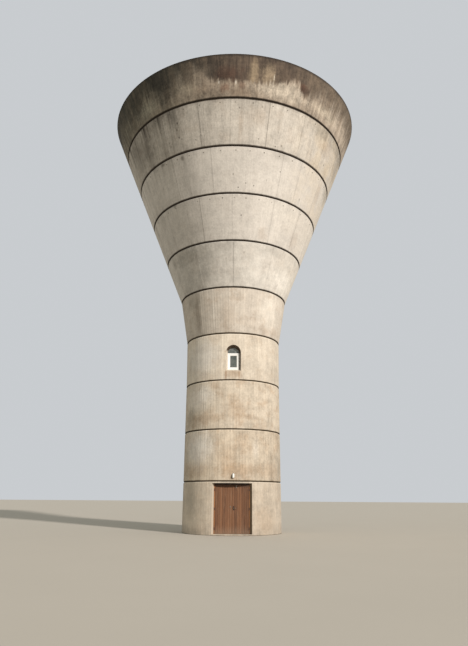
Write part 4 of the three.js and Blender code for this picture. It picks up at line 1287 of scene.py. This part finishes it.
# %% Geometry Nodes: face hinges on a pin line
def face_hinge_tree():
    tree, given = geometry_tree("face_hinges", {
        "Float": "Side, Flap, Thickness, Height, Knuckle Radius, First Knuckle, Pitch, Screw Radius, "
                 "Gap",
        "Int": "Knuckles", "Material": "Material"})
    upright = (math.pi / 2, 0.0, 0.0)
    plate = rounded_plate(tree, (given, "Flap"), (given, "Height"), (given, "Thickness"), 0.004)
    aside = add(tree, "Math MULTIPLY", (given, "Flap"), 0.5)
    aside = add(tree, "Math MULTIPLY", aside, (given, "Side"))
    place = add(tree, "CombineXYZ", aside, (given, "Knuckle Radius"))
    plate = add(tree, "Transform", {"Geometry": plate, "Rotation": upright, "Translation": place})
    # Every other knuckle of the barrel belongs to this flap, and the gaps to the other one.
    knuckle = add(tree, "MeshCylinder", {
        "Vertices": 14, "Radius": (given, "Knuckle Radius"),
        "Depth": add(tree, "Math SUBTRACT", (given, "Pitch"), (given, "Gap"))})
    first = add(tree, "Math MULTIPLY", (given, "First Knuckle"), (given, "Pitch"))
    barrel = add(tree, "MeshLine", {
        "Count": (given, "Knuckles"), "Start Location": add(tree, "CombineXYZ", {"Z": first}),
        "Offset": add(tree, "CombineXYZ", {"Z": add(tree, "Math MULTIPLY", (given, "Pitch"), 2.0)})})
    barrel = add(tree, "InstanceOnPoints", {"Points": barrel, "Instance": (knuckle, "Mesh")})
    # Three screws down the flap, their heads just proud of it.
    head = add(tree, "MeshCone", {
        "Vertices": 12, "Radius Top": add(tree, "Math MULTIPLY", (given, "Screw Radius"), 0.55),
        "Radius Bottom": (given, "Screw Radius"), "Depth": 0.0012})
    lowest = add(tree, "CombineXYZ", add(tree, "Math MULTIPLY", aside, 1.25),
                 add(tree, "Math SUBTRACT", (given, "Knuckle Radius"), (given, "Thickness")),
                 add(tree, "Math MULTIPLY", (given, "Height"), -0.36))
    step = add(tree, "CombineXYZ", {"Z": add(tree, "Math MULTIPLY", (given, "Height"), 0.36)})
    screws = add(tree, "MeshLine", {"Count": 3, "Start Location": lowest, "Offset": step})
    screws = add(tree, "InstanceOnPoints", {"Points": screws, "Instance": (head, "Mesh"),
                                            "Rotation": add(tree, "EulerToRotation", upright)})
    hinge = add(tree, "JoinGeometry", plate)
    for part in (barrel, screws):
        fill(tree, hinge, {"Geometry": part})
    hinge = add(tree, "RealizeInstances", hinge)
    hung = add(tree, "MeshToPoints", {"Mesh": (given, "Geometry"), "Radius": 0.01})
    hung = add(tree, "InstanceOnPoints", {"Points": hung, "Instance": hinge})
    hung = add(tree, "RealizeInstances", hung)
    hung = add(tree, "SetMaterial", {"Geometry": hung, "Material": (given, "Material")})
    add(tree, "GroupOutput", hung)
    return tree


face_hinges = face_hinge_tree()
print("tree", face_hinges.name, "has", len(face_hinges.nodes), "nodes")

# %% Hang the hinges
FLAP_HIGH, FLAP_THICK, FRAME_FLAP = 0.1, 0.003, 0.044
KNUCKLE_RADIUS, KNUCKLE_PITCH, KNUCKLE_GAP = 0.007, 0.02, 0.0008
SCREW_RADIUS = 0.0045

pins = {joint["child"]: Vector(joint["pos_m"]) for joint in frame["joints"]}
for side, sign in (("left", -1.0), ("right", 1.0)):
    nodes = [f"door_hinge_{side}_{i}" for i in (1, 2, 3)]
    pin = pins[f"{side}_leaf"]
    flap = abs(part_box(nodes[0])[0 if sign > 0 else 1].x - pin.x)
    sizes = {"Thickness": FLAP_THICK, "Height": FLAP_HIGH, "Knuckle Radius": KNUCKLE_RADIUS,
             "Pitch": KNUCKLE_PITCH, "Screw Radius": SCREW_RADIUS, "Gap": KNUCKLE_GAP,
             "Material": hinge_steel}
    points = [(pin.x, pin.y, sum(corner.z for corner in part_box(node)) / 2) for node in nodes]
    leaf_side = grown(f"door_hinges_{side}", face_hinges, points, {
        **sizes, "Side": -sign, "Flap": flap, "Knuckles": 3, "First Knuckle": -2.0})
    settle(leaf_side, f"{side}_leaf", nodes)
    frame_side = grown(f"door_frame_flaps_{side}", face_hinges, points, {
        **sizes, "Side": sign, "Flap": FRAME_FLAP, "Knuckles": 2, "First Knuckle": -1.0})
    settle(frame_side, "tower")

# %% The lock plate, its lever and the keeper
LEAF_FACE = -1.85  # the outside of the boards
OFF_FACE = 0.0003  # a plate lies this far off the boards
SINK = 0.001  # how far a round part starts inside its plate
LOCK_X, LOCK_Z = 0.066, 1.02
PLATE_HALF, PLATE_TALL, PLATE_THICK = 0.028, 0.085, 0.004
SCREW_AWAY, SCREW_HEAD, KEYHOLE_DOWN, KEYHOLE_RADIUS = 0.072, 0.005, 0.045, 0.009
ROSE_RADIUS = 0.0145
LEVER_REACH, LEVER_LENGTH, LEVER_GRIP, LEVER_BEND, BEND_STEPS = 0.05, 0.109, 0.0075, 0.018, 8
KEEPER_X, KEEPER_Z = -0.062, 1.07


def face_plate(work, x, z, half, tall, thick, ease=0.0015):
    """A plate on the leaf's face, with its front edges eased."""
    back = LEAF_FACE - OFF_FACE
    skin(work, [rectangle((x - half, 0, z - tall), (x + half, 0, z + tall), inset, back - depth)
                for inset, depth in ((0.0, 0.0), (0.0, thick - ease), (ease, thick))])


def out_from_plate(work, x, z, start, end, radius, sides=12):
    """A round bar that stands out from the face."""
    tube(work, [(x, LEAF_FACE - start, z), (x, LEAF_FACE - end, z)], radius, sides)


work = bmesh.new()
face_plate(work, LOCK_X, LOCK_Z, PLATE_HALF, PLATE_TALL, PLATE_THICK)
for dz, proud, radius, sides in (
        (-SCREW_AWAY, 0.0015, SCREW_HEAD, 12), (SCREW_AWAY, 0.0015, SCREW_HEAD, 12),
        (-KEYHOLE_DOWN, 0.003, KEYHOLE_RADIUS, 16)):
    out_from_plate(work, LOCK_X, LOCK_Z + dz, PLATE_THICK - SINK, PLATE_THICK + proud, radius, sides)
piece_from("door_lock_plate", work, "right_leaf", plate_steel, ["door_lock"])

work = bmesh.new()
out_from_plate(work, LOCK_X, LOCK_Z, PLATE_THICK - SINK, PLATE_THICK + 0.009, ROSE_RADIUS, 20)
reach, tip = LEAF_FACE - LEVER_REACH, LOCK_X + LEVER_LENGTH
arc = [(LOCK_X + LEVER_BEND * (1 - math.cos(a)), reach + LEVER_BEND * (1 - math.sin(a)), LOCK_Z)
       for a in turns(BEND_STEPS, math.pi / 2)]
# The grip runs along the leaf and its end turns back to it, so that no sleeve catches.
end = [(tip - 0.025, reach, LOCK_Z), (tip - 0.009, reach + 0.002, LOCK_Z - 0.002),
       (tip - 0.001, reach + 0.01, LOCK_Z - 0.004), (tip, reach + 0.024, LOCK_Z - 0.004)]
tube(work, [(LOCK_X, LEAF_FACE - PLATE_THICK - OFF_FACE, LOCK_Z)] + arc + end, LEVER_GRIP)
piece_from("door_lever", work, "right_leaf", lock_zinc)

work = bmesh.new()
face_plate(work, KEEPER_X, KEEPER_Z, 0.018, 0.03, 0.003)
out_from_plate(work, KEEPER_X, KEEPER_Z, 0.002, 0.02, 0.009, 16)
piece_from("door_keeper", work, "left_leaf", lock_zinc)

# %% The bolt near the head
BOLT_X, BOLT_LOW, BOLT_HIGH, ROD_TOP = 0.17, 1.79, 1.9, 1.915
ROD_RADIUS, ROD_OUT = 0.006, 0.009
STAPLE_HALF, STAPLE_HIGH, STAPLE_OUT = 0.013, 0.014, 0.018

work = bmesh.new()
face_plate(work, BOLT_X, (BOLT_LOW + BOLT_HIGH) / 2, 0.018, (BOLT_HIGH - BOLT_LOW) / 2, 0.0035, 0.001)
tube(work, [(BOLT_X, LEAF_FACE - ROD_OUT, z) for z in (BOLT_LOW + 0.008, ROD_TOP)], ROD_RADIUS)
out_from_plate(work, BOLT_X, BOLT_LOW + 0.04, ROD_OUT, ROD_OUT + 0.025, 0.004)
for low in (BOLT_LOW + 0.012, BOLT_HIGH - 0.026):
    block(work, (BOLT_X - STAPLE_HALF, LEAF_FACE - STAPLE_OUT, low),
          (BOLT_X + STAPLE_HALF, LEAF_FACE - 0.003, low + STAPLE_HIGH), 0.002)
piece_from("door_bolt", work, "right_leaf", lock_zinc)

# %% The sill
SILL_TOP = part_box("door_sill")[1].z
NOSING_RADIUS = 2.12  # edges of the top that lie farther out than this are the nosing

work = bmesh.new()
work.from_mesh(frame["nodes"]["door_sill"].data)
bmesh.ops.remove_doubles(work, verts=work.verts, dist=WELD)
bmesh.ops.dissolve_limit(work, angle_limit=math.radians(1), verts=work.verts, edges=work.edges)
nosing = [e for e in work.edges if not e.is_boundary and all(
    abs(v.co.z - SILL_TOP) < 1e-4 and math.hypot(v.co.x, v.co.y) > NOSING_RADIUS for v in e.verts)]
bmesh.ops.bevel(work, geom=nosing, offset=0.012, segments=3, profile=0.5, affect="EDGES")
piece_from("door_sill_step", work, "tower", lift_material[1], ["door_sill"])

# %% [markdown]
# ## The window
# A white extruded plastic casement fills the square part of the opening, and a half-round of glass
# stands bare in the arch. Extruded profiles are mitred at the corners and have one moulded section all
# round, so each frame is a round of rectangles, one for every corner of the section.

# %% White plastic, rubber, glass and opal
def moulded_plastic(name, colour, shade, rough):
    """Extruded or moulded plastic: even colour under a satin skin, with rain dust in soft clouds."""
    made, tree = new_material(name)
    place = (add(tree, "TexCoord"), "Object")
    dusty = add(tree, "MapRange SMOOTHSTEP", add(tree, "TexNoise", place, 9.0, 5.0), 0.45, 0.8)
    colour = layered(tree, linear(colour), (dusty, 0.6, shade))
    grain = add(tree, "TexNoise", place, 400.0, 2.0)
    return finish(made, colour, (dusty, 0.0, 1.0, rough, rough + 0.2), (0.15, 0.0002, grain))


def dusty_glass(name, clear, dust_colour):
    """Float glass in front of a dark room, with a film of dust: dark, glossy, greyer in patches."""
    made, tree = new_material(name)
    film = add(tree, "TexNoise", (add(tree, "TexCoord"), "Object"), 5.0, 4.0)
    film = add(tree, "MapRange SMOOTHSTEP", film, 0.35, 0.7)
    colour = layered(tree, linear(clear), (film, 1, dust_colour))
    return finish(made, colour, (film, 0.0, 1.0, 0.04, 0.22), IOR=1.52)


white_plastic = moulded_plastic("pvc_window_profile_extruded", "f6f5f1", "e4e1d8", 0.3)
black_rubber = moulded_plastic("rubber_gasket_extruded", "1d1d1c", "3a3835", 0.6)
opal_plastic = moulded_plastic("polycarbonate_opal_moulded", "f5f3ee", "dedad0", 0.25)
black_alloy = moulded_plastic("aluminium_die_cast_painted_black", "2b2a28", "4a4640", 0.45)
pane_glass = dusty_glass("float_glass_casement_pane", "4f5552", "6c706c")
arch_glass = dusty_glass("float_glass_arch_light", "5d6260", "919491")
print("glass", pane_glass.name, arch_glass.name)

# %% The casement: frame, sash and gasket
# A section is a list of inset and depth behind the face.
FRAME_SECTION = ((0.0, 0.07), (0.0, 0.002), (0.002, 0.0), (0.039, 0.0), (0.042, 0.0015),
                 (0.0535, 0.005), (0.055, 0.007), (0.055, 0.07))
SASH_SECTION = ((0.0, 0.052), (0.0, 0.0025), (0.0025, 0.0), (0.036, 0.0), (0.039, 0.002),
                (0.055, 0.012), (0.058, 0.016), (0.058, 0.052))
GASKET_SECTION = ((0.0575, 0.016), (0.0625, 0.0215), (0.0625, 0.0255), (0.0575, 0.0255))

for name, box, section, material, nodes in (
        ("window_frame_profile", "window_frame", FRAME_SECTION, white_plastic, ["window_frame"]),
        ("window_sash_profile", "window_sash", SASH_SECTION, white_plastic, ["window_sash"]),
        ("window_gasket", "window_sash", GASKET_SECTION, black_rubber, [])):
    lo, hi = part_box(box)
    work = bmesh.new()
    skin(work, [rectangle(lo, hi, inset, lo.y + depth) for inset, depth in section], closed=True)
    piece_from(name, work, "tower", material, nodes)

# %% The bead round the arch light
BEAD_RADIUS, BEAD_IN, BEAD_PROUD = 0.006, 0.003, 0.002
BEAD_START, BEAD_SPAN = 0.01, 0.98  # of the half circle: it stops just short of the sill

arch_lo, arch_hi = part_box("arch_light")
bend = arch_hi.x - window_x - BEAD_IN
bead = []
for i in range(ARCH_STEPS + 1):
    turn = math.pi * (BEAD_START + BEAD_SPAN * i / ARCH_STEPS)
    bead.append((window_x + bend * math.cos(turn), arch_lo.y - BEAD_PROUD,
                 arch_lo.z + BEAD_RADIUS + bend * math.sin(turn)))
work = bmesh.new()
tube(work, bead, BEAD_RADIUS, 8)
piece_from("arch_light_bead", work, "tower", black_rubber)
repaint("window_pane", pane_glass)
repaint("arch_light", arch_glass)

# %% [markdown]
# ## The lamp over the door
# A bulkhead lamp: a black cast base with a rounded edge, and an opal cover that swells out of it. Its
# outline is a stadium, a slot with round ends, at every depth, so rising loops of stadiums make both.

# %% The bulkhead lamp
LUG_RADIUS, LUG_IN, LUG_PROUD = 0.004, 0.006, 0.003  # the round lugs at the base's two ends
RIM, LIP = 0.012, 0.006  # how far the cover's foot and its widest line lie inside the base
DOME_STEPS, DOME_FOOT = 9, 0.004
DOME_TURN, DOME_SHAPE = 0.985, 0.75  # share of a quarter turn, and a power that fills the shoulders

base_lo, base_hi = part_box("lamp_base")
lens_lo, lens_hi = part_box("lamp_cover")
lamp_x, lamp_z = (base_lo.x + base_hi.x) / 2, (base_lo.z + base_hi.z) / 2
lamp_half, lamp_tall = (base_hi.x - base_lo.x) / 2, (base_hi.z - base_lo.z) / 2


def stadium(inset, y, least=0.0, steps=10):
    """The lamp's outline at one depth, drawn in by an inset."""
    wide, high = max(lamp_half - inset, least), max(lamp_tall - inset, least)
    upper = [(lamp_x + wide * math.cos(a), y, lamp_z + (high - wide) + wide * math.sin(a))
             for a in turns(steps)]
    return upper + [(2 * lamp_x - x, y, 2 * lamp_z - z) for x, _, z in upper]


work = bmesh.new()
skin(work, [stadium(inset, y) for inset, y in (
    (0.0, base_hi.y), (0.0, base_lo.y + 0.006), (0.002, base_lo.y + 0.0015), (0.006, base_lo.y))])
for z in (lamp_z - lamp_tall + LUG_IN, lamp_z + lamp_tall - LUG_IN):
    tube(work, [(lamp_x, base_lo.y + LUG_IN, z), (lamp_x, base_lo.y - LUG_PROUD, z)], LUG_RADIUS)
piece_from("lamp_base_casting", work, "tower", black_alloy, ["lamp_base"])

deep = lens_hi.y - lens_lo.y - DOME_FOOT
loops = [stadium(RIM, lens_hi.y)]
for turn in turns(DOME_STEPS, math.pi / 2 * DOME_TURN):
    inset = LIP + (lamp_half - LIP) * (1 - math.cos(turn) ** DOME_SHAPE)
    loops.append(stadium(inset, lens_hi.y - DOME_FOOT - deep * math.sin(turn), least=0.001))
work = bmesh.new()
skin(work, loops)
piece_from("lamp_opal_cover", work, "tower", opal_plastic, ["lamp_cover"])

# %% [markdown]
# ## The roof
# Seen only from above: a screed that falls from the middle to the parapet, and a hatch into the tank.
# The hatch has a concrete kerb with eased edges and a cover folded from galvanised sheet, with its
# edges turned down over the kerb and a shallow pyramid pressed into it so that rain runs off.

# %% The hatch's kerb and cover
KERB_WALL, KERB_EASE = 0.1, 0.012
SHEET = 0.003  # the cover's thickness
PEAK = 0.004  # half the flat that is left at the pyramid's top
HANDLE_AWAY, HANDLE_HALF, HANDLE_BAR = 0.3, 0.07, 0.005

lo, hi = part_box("roof_hatch_kerb")
eased = hi.z - KERB_EASE
work = bmesh.new()
skin(work, [rectangle(lo, hi, inset, z, level=True) for inset, z in (
    (0.0, lo.z), (0.0, eased), (KERB_EASE * 0.3, hi.z - KERB_EASE * 0.3), (KERB_EASE, hi.z),
    (KERB_WALL - KERB_EASE, hi.z), (KERB_WALL, eased), (KERB_WALL, lo.z))], closed=True)
piece_from("roof_hatch_upstand", work, "tower", rained_inside,
           ["roof_hatch_kerb"])

lo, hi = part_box("roof_hatch_cover")
peak, top = (hi.x - lo.x) / 2 - PEAK, hi.z
work = bmesh.new()
# From the peak down the outside to the turned edge, then back under the sheet.
skin(work, [rectangle(lo, hi, inset, z, level=True) for inset, z in (
    (peak, top - 0.012), (0.012, top - 0.026), (0.004, top - 0.0285), (0.0, top - 0.034),
    (0.0, lo.z), (SHEET, lo.z), (SHEET, top - 0.036), (peak, top - 0.016))])
for y in ((lo.y + hi.y) / 2 - HANDLE_AWAY, (lo.y + hi.y) / 2 + HANDLE_AWAY):
    half = [(-HANDLE_HALF, y, top - 0.03), (-HANDLE_HALF, y, top - 0.006), (-0.055, y, top - 0.0065)]
    tube(work, half + [(-x, y, z) for x, y, z in reversed(half)], HANDLE_BAR)
piece_from("roof_hatch_lid", work, "tower", sheet_zinc, ["roof_hatch_cover"])

# %% The slabs
repaint("ground_floor", inside)
repaint("tank_floor", inside)
repaint("roof_slab", screed)
